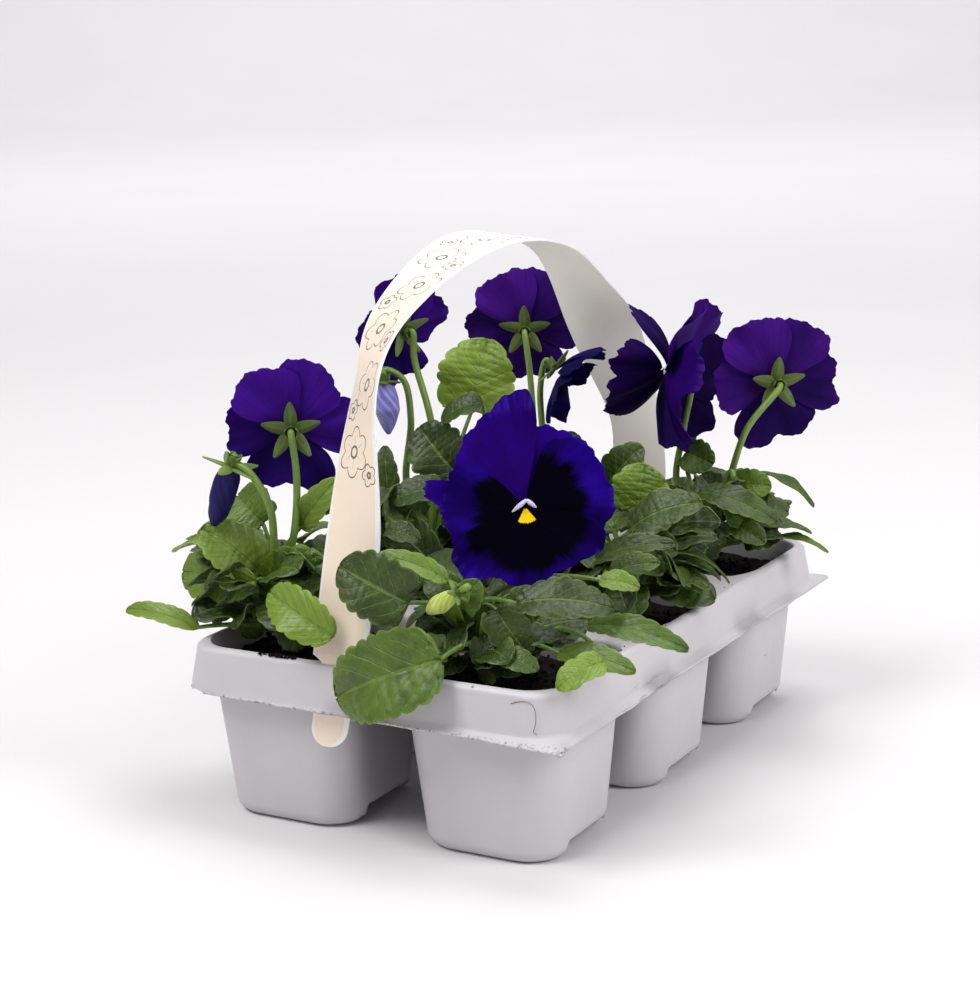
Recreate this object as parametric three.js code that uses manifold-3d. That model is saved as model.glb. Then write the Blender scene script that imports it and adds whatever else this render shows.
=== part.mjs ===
// Six-cell tray of pansies with a carry strip. Millimetres, +Z up.
// The origin is on the floor under the middle of the tray. X runs along the short side,
// Y along the long side.
import * as THREE from 'three';
import { mergeVertices } from 'three/addons/utils/BufferGeometryUtils.js';
import Module from 'manifold-3d';

const wasm = await Module();
wasm.setup();

// ---- Driving dimensions ----------------------------------------------------------------

const GAP = 0.3; // clearance between pieces that rest on each other

// Tray: one formed sheet
const SHEET = 1.0; // wall thickness
const FLANGE_Z = 57; // upper face of the flange
// Corners of the flange, which is trimmed askew: half lengths along X and Y, and corner radius
const FLANGE = [
  { half: [93.7, 140], radius: 3 },
  { half: [91.5, 139], radius: 8 },
  { half: [90.3, 136.6], radius: 16 },
  { half: [93.7, 140], radius: 3 },
];
const SKIRT_HALF = [89.7, 136]; // skirt at the flange
const SKIRT_CORNER = 15;
const RIM_Z = 75.5; // top of the deck
const PITCH = [95, 93.3]; // cell to cell along X and Y
const POT_FOOT_HALF = [31, 30.5]; // pot just above its rounded lower edge
const POT_MOUTH_HALF = [36.6, 36.4]; // pot at the rim
const POT_CORNER = 17;
const FOOT_ROUND = 6; // height and depth of the rounded lower edge
const CHANNEL_Z = 7; // height of the air channel under each pot
const CHANNEL_Y = [-15, 22]; // its two sides, from the pot's middle
const CHANNEL_SLOPE = 1.5;
const DRAIN_RADIUS = 4;
const CORNER_STEPS = 3; // segments in each rounded corner

// Soil
const SOIL_Z = 66;
const SOIL_RELIEF = 1.6;

// Carry strip
const STRIP_THICK = 0.7;
const STRIP_SLOT = [20, 1.6]; // slot along X and Y
const SLOT_Y = 132;
const TONGUE_WIDTH = 17.5;
const NECK_WIDTH = 16;
const TONGUE_END_Z = 40;
const SHOULDER_Z = RIM_Z + 0.8;
// Each arch point: x, y, z, twist in degrees about the strip's own line, width
const STRIP_ARCH = [
  [-10.5, -SLOT_Y, 79, 0, 25],
  [-10.5, -119, 122, -7, 28],
  [-13, -101, 183, -40, 31],
  [-12.5, -72, 214, -17, 31.5],
  [-10.5, -14, 232.5, 3, 34],
  [-9, 41, 226.5, 5, 32],
  [-9, 82, 203, 7, 35],
  [-1, 119, 140, -60, 28],
  [-3.5, SLOT_Y, 79, 0, 25],
];
const TONGUE_LEAN = 0.2; // the near tongue's lean along X, for each millimetre of height
const STRIP_STEPS = 26;

// Foliage
const BLADE_THICK = 0.8;
const STALK_HALF = 1.1; // half width of a leaf stalk
const STALK_ROWS = [0, 0.55];
const FLOWER_STEM_RADIUS = 1.6;
const CROWN_RADIUS = 4;
const CROWN_DEPTH = 12; // how far the crown's stub stands in the soil
const NARROW_LEAF = 13; // below this width a blade has no fold
const LEAF_ROWS = [0, 0.14, 0.32, 0.5, 0.68, 0.86, 1];

// Blooms
const PETAL_THICK = 0.7;
const PETAL_LAYER = 1.5; // from one layer of petals to the next
// Rows of a petal: distance from the heart, strips across
const PETAL_ROWS = [[0, 1], [0.25, 1], [0.65, 3], [1, 6]];
const WAVES = 7; // ripples round a bloom's rim
const HEART_RADIUS = 4.2; // the core that the petals grow from
const SEPAL_LENGTH = 13;
const NECK = 6; // straight end of a flower stem behind the heart
const CALYX_BACK = GAP + BLADE_THICK / 2; // sepals' mid-plane, behind the flower's heart

// Directions that leaf faces and blooms point in
const UP = [0, 0, 1];
const FRONT = [0.3, -0.9, 0.25];
const SLANT = [0.1, -0.65, 0.75];
const VIEWER = [0.46, -0.85, 0.26];

// ---- Solids ----------------------------------------------------------------------------

const vec = (p) => new THREE.Vector3(p[0], p[1], p[2]);

/** A manifold solid from a closed three.js geometry. */
function solidOf(geometry) {
  const bare = geometry.clone();
  bare.deleteAttribute('normal');
  bare.deleteAttribute('uv');
  const merged = mergeVertices(bare, 1e-4);
  const vertProperties = new Float32Array(merged.attributes.position.array);
  const triVerts = new Uint32Array(merged.index.array);
  return new wasm.Manifold(new wasm.Mesh({ numProp: 3, vertProperties, triVerts }));
}

/** The solids joined into one, with any hollow that the joining has sealed filled in. */
function joined(solids) {
  const bodies = solids.reduce((sum, next) => sum.add(next)).decompose();
  return bodies.reduce((best, next) => (next.volume() > best.volume() ? next : best));
}

/** A three.js geometry from a manifold solid. */
function geometryOf(solid) {
  const mesh = solid.getMesh();
  const geometry = new THREE.BufferGeometry();
  geometry.setAttribute('position', new THREE.BufferAttribute(mesh.vertProperties, 3));
  geometry.setIndex(new THREE.BufferAttribute(mesh.triVerts, 1));
  geometry.computeVertexNormals();
  return geometry;
}

/** A closed solid through equal rings of points, each ring wound anticlockwise from above. */
function loft(rings) {
  const count = rings[0].length;
  const points = rings.flat();
  const triangles = [];
  for (let r = 0; r + 1 < rings.length; r += 1) {
    for (let i = 0; i < count; i += 1) {
      const a = r * count + i;
      const b = r * count + ((i + 1) % count);
      triangles.push(a, b, b + count, a, b + count, a + count);
    }
  }
  const last = (rings.length - 1) * count;
  for (let i = 1; i + 1 < count; i += 1) {
    triangles.push(0, i + 1, i, last, last + i, last + i + 1);
  }
  return solidOf(indexed(points, triangles));
}

function indexed(points, triangles) {
  const geometry = new THREE.BufferGeometry().setFromPoints(points);
  geometry.setIndex(triangles);
  return geometry;
}

/** A rounded rectangle at one height. Each corner has its own half lengths and radius. */
function roundedRing(corners, z, centre = [0, 0]) {
  const signs = [[1, 1], [-1, 1], [-1, -1], [1, -1]];
  const ring = [];
  signs.forEach(([sx, sy], k) => {
    const { half, radius } = corners[k];
    for (let i = 0; i <= CORNER_STEPS; i += 1) {
      const angle = (k + i / CORNER_STEPS) * Math.PI / 2;
      ring.push(vec([
        centre[0] + sx * (half[0] - radius) + radius * Math.cos(angle),
        centre[1] + sy * (half[1] - radius) + radius * Math.sin(angle),
        z,
      ]));
    }
  });
  return ring;
}

/** An even rounded rectangle from its level: [z, half X, half Y, corner radius]. */
function evenRing([z, hx, hy, radius], centre) {
  return roundedRing(Array(4).fill({ half: [hx, hy], radius }), z, centre);
}

/** A stack of even rounded rectangles. */
function stack(levels, centre) {
  return loft(levels.map((level) => evenRing(level, centre)));
}

/**
 * A sheet with equal triangles on both faces. Its rows of points are moved by `offsets`, one for
 * each row, to either side; neighbouring rows may differ in length.
 */
function sheet(rows, offsets) {
  const top = rows.flatMap((row, r) => row.map((p) => p.clone().add(offsets[r])));
  const bottom = rows.flatMap((row, r) => row.map((p) => p.clone().sub(offsets[r])));
  const total = top.length;
  const triangles = [];
  const face = (a, b, c) => triangles.push(a, b, c, total + a, total + c, total + b);
  const edge = (a, b) => triangles.push(b, a, total + a, b, total + a, total + b);
  const starts = rows.map((row, r) => rows.slice(0, r).reduce((sum, done) => sum + done.length, 0));
  for (let r = 0; r + 1 < rows.length; r += 1) {
    const [low, high] = [starts[r], starts[r + 1]];
    const [m, n] = [rows[r].length - 1, rows[r + 1].length - 1];
    let i = 0;
    let j = 0;
    while (i < m || j < n) {
      if (j === n || (i < m && (i + 1) * n <= (j + 1) * m)) {
        face(low + i, low + i + 1, high + j);
        i += 1;
      } else {
        face(low + i, high + j + 1, high + j);
        j += 1;
      }
    }
    edge(low + m, high + n);
    edge(high, low);
  }
  const lastStart = starts[starts.length - 1];
  for (let i = 0; i + 1 < rows[0].length; i += 1) edge(i, i + 1);
  for (let i = lastStart; i + 1 < total; i += 1) edge(i + 1, i);
  return solidOf(indexed([...top, ...bottom], triangles));
}

/** A tube of a few flat sides along a curve. */
function tube(curve, radius, sides, steps) {
  const section = new THREE.Shape();
  for (let i = 0; i < sides; i += 1) {
    const angle = (2 * Math.PI * i) / sides;
    const corner = [radius * Math.cos(angle), radius * Math.sin(angle)];
    if (i === 0) section.moveTo(...corner);
    else section.lineTo(...corner);
  }
  section.closePath();
  const options = { steps, bevelEnabled: false, extrudePath: curve };
  return solidOf(new THREE.ExtrudeGeometry(section, options));
}

function boxAt(size, centre) {
  return solidOf(new THREE.BoxGeometry(...size).translate(...centre));
}

/** An upright cylinder between two heights. */
function post(radius, sides, low, high, x, y) {
  const cylinder = new THREE.CylinderGeometry(radius, radius, high - low, sides);
  return solidOf(cylinder.rotateX(Math.PI / 2).translate(x, y, (low + high) / 2));
}

/** Right-handed frame with its third axis along `face`, its second as near to `up` as it can be. */
function frameOf(face, up) {
  const z = vec(face).normalize();
  const x = vec(up).cross(z).normalize();
  const y = z.clone().cross(x);
  return { x, y, z };
}

// ---- Group and materials -----------------------------------------------------------------

const group = new THREE.Group();

function material(color, roughness) {
  return new THREE.MeshStandardMaterial({ color, roughness, metalness: 0 });
}

const trayPlastic = material(0xc9c8cf, 0.45);
const stripPlastic = material(0xeedcc6, 0.5);
const soilMix = material(0x2a211c, 0.95);
const leafGreen = material(0x4f7a35, 0.6);
const petalViolet = material(0x2c0a90, 0.55);
const petalIndigo = material(0x1f1266, 0.55);
const petalFaded = material(0x6d68b4, 0.6);
const petalLime = material(0xb4c45a, 0.6);

function addNode(name, solid, look) {
  const mesh = new THREE.Mesh(geometryOf(solid), look);
  mesh.name = name;
  group.add(mesh);
}

// ---- Tray ----------------------------------------------------------------------------------

const cells = [];
for (const row of [-1, 0, 1]) {
  for (const side of [-1, 1]) {
    cells.push([side * PITCH[0] / 2, row * PITCH[1]]);
  }
}

/** The pot's rounded-rectangle levels, drawn in by `inset` all round, up to `topZ`. */
function potLevels(inset, floorZ, topZ) {
  const foot = POT_FOOT_HALF;
  const mouth = POT_MOUTH_HALF;
  const grow = (z) => (z - FOOT_ROUND) / (RIM_Z - FOOT_ROUND);
  const wall = (z) => [0, 1].map((k) => foot[k] + (mouth[k] - foot[k]) * grow(z) - inset);
  const radius = POT_CORNER - inset;
  const low = wall(FOOT_ROUND);
  return [
    [floorZ, low[0] - FOOT_ROUND, low[1] - FOOT_ROUND, radius - FOOT_ROUND],
    [floorZ + 0.3 * FOOT_ROUND, low[0] - 0.3 * FOOT_ROUND, low[1] - 0.3 * FOOT_ROUND, radius - 2],
    [floorZ + FOOT_ROUND, low[0], low[1], radius],
    [topZ, ...wall(topZ), radius],
  ];
}

/** The air channel under a pot, widened all round by `spare`. */
function channel(cell, spare) {
  const outline = new THREE.Shape();
  const [near, far] = CHANNEL_Y;
  outline.moveTo(near - CHANNEL_SLOPE - spare, -10);
  outline.lineTo(far + CHANNEL_SLOPE + spare, -10);
  outline.lineTo(far + spare, CHANNEL_Z + spare);
  outline.lineTo(near - spare, CHANNEL_Z + spare);
  const length = 2 * POT_MOUTH_HALF[0] + 10;
  const prism = new THREE.ExtrudeGeometry(outline, { depth: length, bevelEnabled: false });
  prism.rotateX(Math.PI / 2).rotateZ(Math.PI / 2);
  prism.translate(cell[0] - length / 2, cell[1], 0);
  return solidOf(prism);
}

function tray() {
  const [sx, sy] = SKIRT_HALF;
  const skirt = (inset, drop) => stack([
    [FLANGE_Z - SHEET - (inset ? 1 : 0), sx - inset, sy - inset, SKIRT_CORNER - inset],
    [70 - drop / 2, sx - 1.3 - inset, sy - 1.3 - inset, SKIRT_CORNER - inset],
    [RIM_Z - 1.6 - drop, sx - 2.6 - inset, sy - 2.6 - inset, SKIRT_CORNER - inset],
    [RIM_Z - drop, sx - 4.6 - inset, sy - 4.2 - inset, SKIRT_CORNER - inset - 1],
  ]);
  const flange = loft([FLANGE_Z - SHEET, FLANGE_Z].map((z) => roundedRing(FLANGE, z)));
  let body = skirt(0, 0).add(flange).subtract(skirt(SHEET, SHEET));
  for (const cell of cells) {
    const outer = stack(potLevels(-SHEET, 0, RIM_Z - 0.1), cell);
    body = body.add(outer.subtract(channel(cell, 0)));
  }
  for (const cell of cells) {
    const inner = stack(potLevels(0, SHEET, RIM_Z + 4).filter((level, k) => k !== 1), cell);
    body = body.subtract(inner.subtract(channel(cell, SHEET)));
    body = body.subtract(post(DRAIN_RADIUS, 6, 0, CHANNEL_Z + 3, cell[0], cell[1]));
  }
  for (const [x, y] of [[STRIP_ARCH[0][0], -SLOT_Y], [STRIP_ARCH[8][0], SLOT_Y]]) {
    body = body.subtract(boxAt([...STRIP_SLOT, 12], [x, y, RIM_Z]));
  }
  return body;
}

addNode('tray', tray(), trayPlastic);

// ---- Carry strip -----------------------------------------------------------------------------

function strip() {
  const line = (points) => new THREE.CatmullRomCurve3(points, false, 'catmullrom', 0.5);
  const path = line(STRIP_ARCH.map((p) => vec(p)));
  const shape = line(STRIP_ARCH.map((p) => vec([p[3], p[4], 0])));
  const ends = [
    [TONGUE_END_Z, 0.45 * TONGUE_WIDTH],
    [TONGUE_END_Z + 2, 0.8 * TONGUE_WIDTH],
    [TONGUE_END_Z + 7, TONGUE_WIDTH],
    [RIM_Z - 6, TONGUE_WIDTH],
    [RIM_Z - 3, NECK_WIDTH],
    [SHOULDER_Z, NECK_WIDTH],
  ];
  const across = new THREE.Vector3(1, 0, 0);
  const rows = [];
  const addRow = (centre, side, tangent, width) => {
    const face = side.clone().cross(tangent).normalize();
    rows.push({ centre, side, face, width });
  };
  const first = STRIP_ARCH[0];
  const last = STRIP_ARCH[8];
  ends.forEach(([z, width]) => {
    const lean = TONGUE_LEAN * (z - first[2]);
    addRow(vec([first[0] + lean, first[1], z]), across, vec(UP), width);
  });
  for (let i = 0; i <= STRIP_STEPS; i += 1) {
    const t = i / STRIP_STEPS;
    const tangent = path.getTangent(t);
    const [turn, width] = shape.getPoint(t).toArray();
    const side = across.clone().addScaledVector(tangent, -tangent.x).normalize();
    side.applyAxisAngle(tangent, THREE.MathUtils.degToRad(turn));
    addRow(path.getPoint(t), side, tangent, width);
  }
  const down = vec([0, 0, -1]);
  ends.reverse().forEach(([z, width]) => addRow(vec([last[0], last[1], z]), across, down, width));
  const rings = rows.map(({ centre, side, face, width }) => {
    const corner = (a, b) => centre.clone()
      .addScaledVector(side, a * width / 2).addScaledVector(face, b * STRIP_THICK / 2);
    return [corner(1, -1), corner(-1, -1), corner(-1, 1), corner(1, 1)];
  });
  return loft(rings);
}

addNode('carry_strip', strip(), stripPlastic);

// ---- Soil --------------------------------------------------------------------------------------

/** Crowns: where each plant's main stem stands (x, y) and the head its leaves spread from. */
const PLANTS = {
  front_left: { cell: 0, crown: [-60, -96], head: [-72, -94, 92] },
  front_right: { cell: 1, crown: [38, -98], head: [34, -103, 96] },
  middle_left: { cell: 2, crown: [-46, -4], head: [-42, -6, 92] },
  middle_right: { cell: 3, crown: [48, -4], head: [54, -6, 88] },
  back_left: { cell: 4, crown: [-46, 92], head: [-42, 92, 90] },
  back_right: { cell: 5, crown: [52, 88], head: [58, 80, 88] },
};

/** Height of the soil's lumpy top above its mean, at a point. */
function relief(x, y) {
  return SOIL_RELIEF * Math.sin(0.17 * x + 0.9) * Math.cos(0.13 * y + 0.4 + 0.05 * x);
}

function soil(cell, crown) {
  const levels = potLevels(GAP, SHEET + GAP, SOIL_Z - 3).filter((level, k) => k !== 1);
  const rings = levels.map((level) => evenRing(level, cell));
  const edge = rings[rings.length - 1];
  const middle = vec([cell[0], cell[1], 0]);
  [1, 0.8, 0.4].forEach((scale) => {
    rings.push(edge.map((p) => {
      const q = p.clone().sub(middle).multiplyScalar(scale).add(middle);
      const lift = scale === 1 ? -1.5 : relief(q.x, q.y);
      return q.setZ(SOIL_Z + lift);
    }));
  });
  const hole = post(CROWN_RADIUS + GAP + 0.1, 6, SOIL_Z - CROWN_DEPTH - GAP, SOIL_Z + 8, ...crown);
  return loft(rings).subtract(channel(cell, SHEET + GAP)).subtract(hole);
}

for (const [name, plant] of Object.entries(PLANTS)) {
  addNode(`soil_${name}`, soil(cells[plant.cell], plant.crown), soilMix);
}

// ---- Leaves and stems --------------------------------------------------------------------------

/** Half width of a leaf along its length, from 0 to 1, with a scalloped edge. */
function leafOutline(u, row) {
  const smooth = Math.sin(Math.PI * u ** 0.72) ** 0.62;
  const scallop = row % 2 === 0 ? 1.04 : 0.93;
  return u === 0 ? 0.14 : smooth * scallop;
}

/** A leaf's own directions: along it, across it, and out of its upper face. */
function leafFrame({ base, tip, face }) {
  const along = vec(tip).sub(vec(base));
  const length = along.length();
  along.normalize();
  const side = along.clone().cross(vec(face)).normalize();
  return { along, length, side, normal: side.clone().cross(along) };
}

/**
 * A leaf in one piece: a stalk from a point on the main stem, and a folded, arched and drooping
 * blade with a raised rim. `width` is across the blade, `face` the way its upper face looks.
 */
function leafSolid({ base, tip, width, face, fold = 0.18, arch = 0.1, droop = 0.12 }, from) {
  const { along, length, side, normal } = leafFrame({ base, tip, face });
  const start = vec(base);
  const rows = [];
  const offsets = [];
  const reach = start.distanceTo(from);
  const under = start.clone().addScaledVector(along, -0.45 * reach);
  const over = from.clone().addScaledVector(vec(UP), 0.5 * reach);
  const stalk = new THREE.QuadraticBezierCurve3(from, under.lerp(over, 0.45), start);
  for (const t of STALK_ROWS) {
    const tangent = stalk.getTangent(t);
    const across = tangent.clone().cross(normal).normalize();
    const point = stalk.getPoint(t);
    rows.push([-1, 1].map((s) => point.clone().addScaledVector(across, s * STALK_HALF)));
    offsets.push(across.clone().cross(tangent).multiplyScalar(0.8 * STALK_HALF));
  }
  LEAF_ROWS.forEach((u, row) => {
    const half = 0.5 * width * leafOutline(u, row);
    const lift = length * (arch * 4 * u * (1 - u) - droop * u * u);
    const middle = start.clone().addScaledVector(along, length * u).addScaledVector(normal, lift);
    const rim = (s) => middle.clone().addScaledVector(side, s * half)
      .addScaledVector(normal, fold * half * (1 + 0.5 * s * Math.sin(9 * u)));
    const plain = u === 0 || width < NARROW_LEAF;
    if (u === 1) rows.push([middle]);
    else rows.push(plain ? [rim(-1), rim(1)] : [rim(-1), middle, rim(1)]);
    offsets.push(normal.clone().multiplyScalar(BLADE_THICK / 2));
  });
  return sheet(rows, offsets);
}

/** Five pointed sepals in one star behind a bloom or bud, bent by `spread`. */
function calyx({ centre, face, up = UP, spread = 1, length = SEPAL_LENGTH }) {
  const frame = frameOf(face, up);
  const at = (angle, r) => vec(centre)
    .addScaledVector(frame.x, spread * r * Math.cos(angle))
    .addScaledVector(frame.y, spread * r * Math.sin(angle))
    .addScaledVector(frame.z, -CALYX_BACK - 0.25 * r + (1 - spread) * 1.5 * r);
  const step = Math.PI / 5;
  const points = [at(0, 0)];
  const triangles = [];
  for (let i = 0; i < 5; i += 1) {
    const angle = Math.PI / 2 + 2 * i * step;
    points.push(at(angle - step, 2.4), at(angle - 0.36, 0.5 * length));
    points.push(at(angle, length), at(angle + 0.36, 0.5 * length));
    const [a, b, c, d] = [1, 2, 3, 4].map((k) => 4 * i + k);
    const next = 4 * ((i + 1) % 5) + 1;
    triangles.push([0, a, next], [a, b, d], [a, d, next], [b, c, d]);
  }
  const count = points.length;
  const offset = frame.z.clone().multiplyScalar(BLADE_THICK / 2);
  const all = [...points.map((p) => p.clone().add(offset)), ...points.map((p) => p.clone().sub(offset))];
  const faces = triangles.flatMap(([a, b, c]) => [a, b, c, count + a, count + c, count + b]);
  for (let i = 1; i < count; i += 1) {
    const next = i === count - 1 ? 1 : i + 1;
    faces.push(next, i, count + i, next, count + i, count + next);
  }
  return solidOf(indexed(all, faces));
}

/** The main stem: a stub in the soil's hole and a leaning stem up to the head. */
function mainStem(plant) {
  const [x, y] = plant.crown;
  const stub = post(CROWN_RADIUS, 6, SOIL_Z - CROWN_DEPTH, SOIL_Z + 3.5, x, y);
  const line = new THREE.LineCurve3(vec([x, y, SOIL_Z + 1]), vec(plant.head));
  return stub.add(tube(line, 3, 4, 1));
}

function green(plant, leaves, flowers) {
  const [x, y] = plant.crown;
  const foot = vec([x, y, SOIL_Z + 3]);
  const head = vec(plant.head);
  const parts = [mainStem(plant)];
  for (const leaf of leaves) {
    const share = THREE.MathUtils.clamp((leaf.base[2] - foot.z) / (head.z - foot.z) - 0.3, 0.1, 0.92);
    parts.push(leafSolid(leaf, foot.clone().lerp(head, share)));
  }
  for (const flower of flowers) {
    const behind = (reach) => vec(flower.centre).addScaledVector(vec(flower.face).normalize(), -reach);
    const stem = [...flower.stem.map((p) => vec(p)), behind(NECK), behind(CALYX_BACK)];
    const points = [head.clone().lerp(foot, 0.3), ...stem];
    parts.push(tube(new THREE.CatmullRomCurve3(points), FLOWER_STEM_RADIUS, 4, 5));
    parts.push(calyx(flower));
  }
  return joined(parts);
}

const leaf = (base, tip, width, face, shape = {}) => ({ base, tip, width, face, ...shape });

/** Plain leaves round a plant's far side: a fan between two angles in degrees, drawn by rule. */
function fan(plant, { from, to, count, reach, low, high, width, seed }) {
  const leaves = [];
  for (let i = 0; i < count; i += 1) {
    const noise = (k) => {
      const wave = Math.sin(12.9898 * (i + 1) + 78.233 * (k + seed)) * 43758.5453;
      return wave - Math.floor(wave);
    };
    const angle = THREE.MathUtils.degToRad(from + ((to - from) * (i + 0.3 + 0.4 * noise(1))) / count);
    const out = [Math.cos(angle), Math.sin(angle)];
    const level = low + (high - low) * ((i % 3) / 2);
    const start = reach * (0.4 + 0.2 * noise(2));
    const length = reach * (0.5 + 0.25 * noise(3));
    const drop = 8 * (noise(4) - 0.6);
    const at = (r, z) => [
      Math.round(plant.head[0] + out[0] * r),
      Math.round(plant.head[1] + out[1] * r),
      Math.round(z),
    ];
    const face = [0.5 * out[0] * (noise(5) - 0.2), 0.5 * out[1] * (noise(6) - 0.2), 1];
    leaves.push(leaf(at(start, level), at(start + length, level + drop), width, face));
  }
  return leaves;
}

const LEAVES = {
  front_left: [
    leaf([-76, -88, 118], [-92, -85, 129], 22, FRONT),
    leaf([-74, -98, 99], [-90, -112, 119], 20, SLANT),
    leaf([-86, -90, 101], [-119, -92, 104], 20, UP),
    leaf([-81, -96, 95], [-109, -101, 96], 20, FRONT),
    leaf([-84, -80, 104], [-128, -72, 107], 20, UP),
    leaf([-67, -108, 99], [-92, -113, 93], 14, FRONT),
    leaf([-58, -86, 118], [-39, -88, 140], 12, FRONT),
    leaf([-62, -80, 109], [-47, -76, 119], 16, UP),
    leaf([-66, -97, 93], [-38, -102, 108], 25, FRONT),
    leaf([-22, -134, 93], [-46, -131, 103], 22, [0.1, -0.9, 0.4]),
    leaf([-76, -104, 86], [-89, -112, 80], 10, SLANT),
    leaf([-74, -104, 84], [-72, -106, 72], 12, FRONT),
    leaf([-54, -104, 82], [-47, -109, 71], 13, FRONT),
    leaf([-89, -121, 79], [-123, -127, 87], 9, SLANT),
  ],
  front_right: [
    leaf([21, -128, 104], [-5, -138, 119], 26, FRONT),
    leaf([33, -118, 112], [8, -129, 124], 9, SLANT),
    leaf([26, -138, 80], [-8, -144, 66], 30, [0.2, -0.9, 0.35]),
    leaf([33, -121, 84], [19, -130, 84], 14, SLANT),
    leaf([47, -114, 89], [48, -118, 78], 11, FRONT),
    leaf([55, -118, 84], [73, -120, 82], 10, SLANT),
    leaf([64, -118, 106], [99, -105, 107], 18, SLANT),
    leaf([81, -80, 108], [97, -78, 107], 9, SLANT),
    leaf([84, -97, 94], [127, -100, 93], 11, SLANT),
    leaf([79, -112, 86], [113, -118, 87], 11, SLANT),
    leaf([101, -118, 87], [88, -132, 80], 13, SLANT),
    leaf([50, -110, 100], [65, -112, 84], 17, FRONT),
    leaf([37, -113, 100], [44, -114, 112], 12, FRONT),
  ],
  middle_left: [
    leaf([-29, 12, 153], [-22, 14, 185], 34, FRONT),
    leaf([-12, -8, 161], [-31, -14, 154], 12, SLANT),
    leaf([-26, -10, 129], [-42, -14, 149], 26, FRONT),
    leaf([-22, -28, 125], [-42, -40, 122], 15, SLANT),
    leaf([-56, -16, 105], [-59, -17, 139], 12, FRONT),
    leaf([-28, -30, 93], [-44, -40, 114], 20, FRONT),
    leaf([-34, -56, 112], [-18, -56, 110], 10, SLANT),
  ],
  middle_right: [
    leaf([34, 20, 122], [50, 22, 140], 17, FRONT),
    leaf([53, 12, 113], [56, 14, 134], 25, FRONT),
    leaf([61, -12, 111], [91, -8, 127], 20, SLANT),
    leaf([52, -30, 100], [88, -30, 114], 11, SLANT),
    leaf([66, -42, 99], [87, -40, 107], 12, SLANT),
    leaf([78, -5, 101], [99, 10, 89], 8, UP),
  ],
  back_left: [
    leaf([-20, 68, 124], [-5, 70, 131], 12, SLANT),
  ],
  back_right: [
    leaf([42, 88, 124], [56, 86, 120], 16, FRONT),
    leaf([66, 75, 103], [55, 75, 117], 17, FRONT),
    leaf([71, 80, 113], [88, 78, 114], 14, FRONT),
    leaf([75, 95, 115], [103, 98, 104], 10, UP),
    leaf([60, 62, 112], [99, 60, 104], 13, SLANT),
    leaf([72, 72, 95], [90, 66, 91], 12, SLANT),
    leaf([80, 92, 84], [109, 98, 83], 9, UP),
    leaf([60, 68, 90], [63, 62, 79], 15, FRONT),
    leaf([62, 119, 93], [64, 149, 87], 22, UP),
  ],
};

// Leaves on the sides that no listed leaf covers, from one angle round to the other
const FANS = {
  front_left: { from: 60, to: 150, count: 2, reach: 36, low: 90, high: 104, width: 19, seed: 1 },
  front_right: { from: 20, to: 70, count: 1, reach: 30, low: 90, high: 100, width: 16, seed: 2 },
  middle_left: { from: 95, to: 250, count: 5, reach: 44, low: 89, high: 112, width: 21, seed: 3 },
  middle_right: { from: -10, to: 60, count: 3, reach: 38, low: 87, high: 100, width: 18, seed: 4 },
  back_left: { from: 75, to: 250, count: 7, reach: 42, low: 89, high: 112, width: 21, seed: 5 },
  back_right: { from: 20, to: 150, count: 4, reach: 40, low: 88, high: 108, width: 19, seed: 6 },
};

// Blooms and buds of each plant. `centre` is the flower's heart, `face` the way it looks, and
// `stem` the points that its stem runs through.
const FLOWERS = {
  front_left: {
    b: { centre: [-60, -87, 160], face: [-0.55, 0.82, 0.05], stem: [[-58, -92, 115], [-57, -89, 140]] },
    c: {
      centre: [-76, -109, 147], face: [-0.38, 0, -0.92], up: FRONT, spread: 0.8,
      stem: [[-60, -104, 126], [-61, -107, 136], [-67, -109, 146], [-74, -109, 150]],
    },
  },
  front_right: {
    a: { centre: [50, -84, 136], face: VIEWER, stem: [[46, -78, 112], [50, -76, 130]] },
    k: {
      centre: [42, -127, 110], face: [-0.83, 0, -0.55], up: UP, spread: 0.8, length: 7,
      stem: [[41, -118, 108]],
    },
  },
  middle_left: {
    d: { centre: [-57, 0, 190], face: [-0.95, 0.2, 0.1], stem: [[-42, -2, 145], [-51, -1, 178]] },
    e: {
      centre: [-58, -15, 168], face: [0.1, -0.1, -1], up: FRONT, spread: 0.8, length: 10,
      stem: [[-55, -5, 120], [-52, -4, 150], [-53, -8, 169]],
    },
  },
  middle_right: {},
  back_left: {
    f: { centre: [-52, 105, 175], face: [-0.45, 0.87, 0.15], stem: [[-43, 95, 125], [-46, 98, 155]] },
    g: {
      centre: [-20, 76, 162], face: [0.75, 0.1, -0.65], up: UP, spread: 0.85,
      stem: [[-30, 80, 120], [-29, 77, 152]],
    },
  },
  back_right: {
    h: { centre: [41, 84, 162], face: [-0.93, 0.1, 0.2], stem: [[38, 86, 108], [42, 85, 135]] },
    i: { centre: [84, 96, 158], face: [-0.65, 0.75, 0.05], stem: [[68, 80, 117], [77, 79, 140]] },
    j: {
      centre: [74, 71, 115], face: [0.4, -0.3, -0.85], up: UP, spread: 0.8, length: 6,
      stem: [[67, 75, 113]],
    },
  },
};

for (const [name, plant] of Object.entries(PLANTS)) {
  const leaves = [...LEAVES[name], ...fan(plant, FANS[name])];
  addNode(`plant_${name}`, green(plant, leaves, Object.values(FLOWERS[name])), leafGreen);
}

// ---- Blooms ----------------------------------------------------------------------------------

/** The five petals of an open flower of radius 1: two behind at the top, two at the sides, one low. */
const OPEN_PETALS = [
  { angle: 62, reach: 1, width: 1.4, layer: 0 },
  { angle: 118, reach: 1, width: 1.4, layer: 1 },
  { angle: 0, reach: 0.95, width: 1.35, layer: 2 },
  { angle: 180, reach: 0.95, width: 1.35, layer: 2 },
  { angle: 270, reach: 0.98, width: 1.95, layer: 3 },
];

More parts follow.
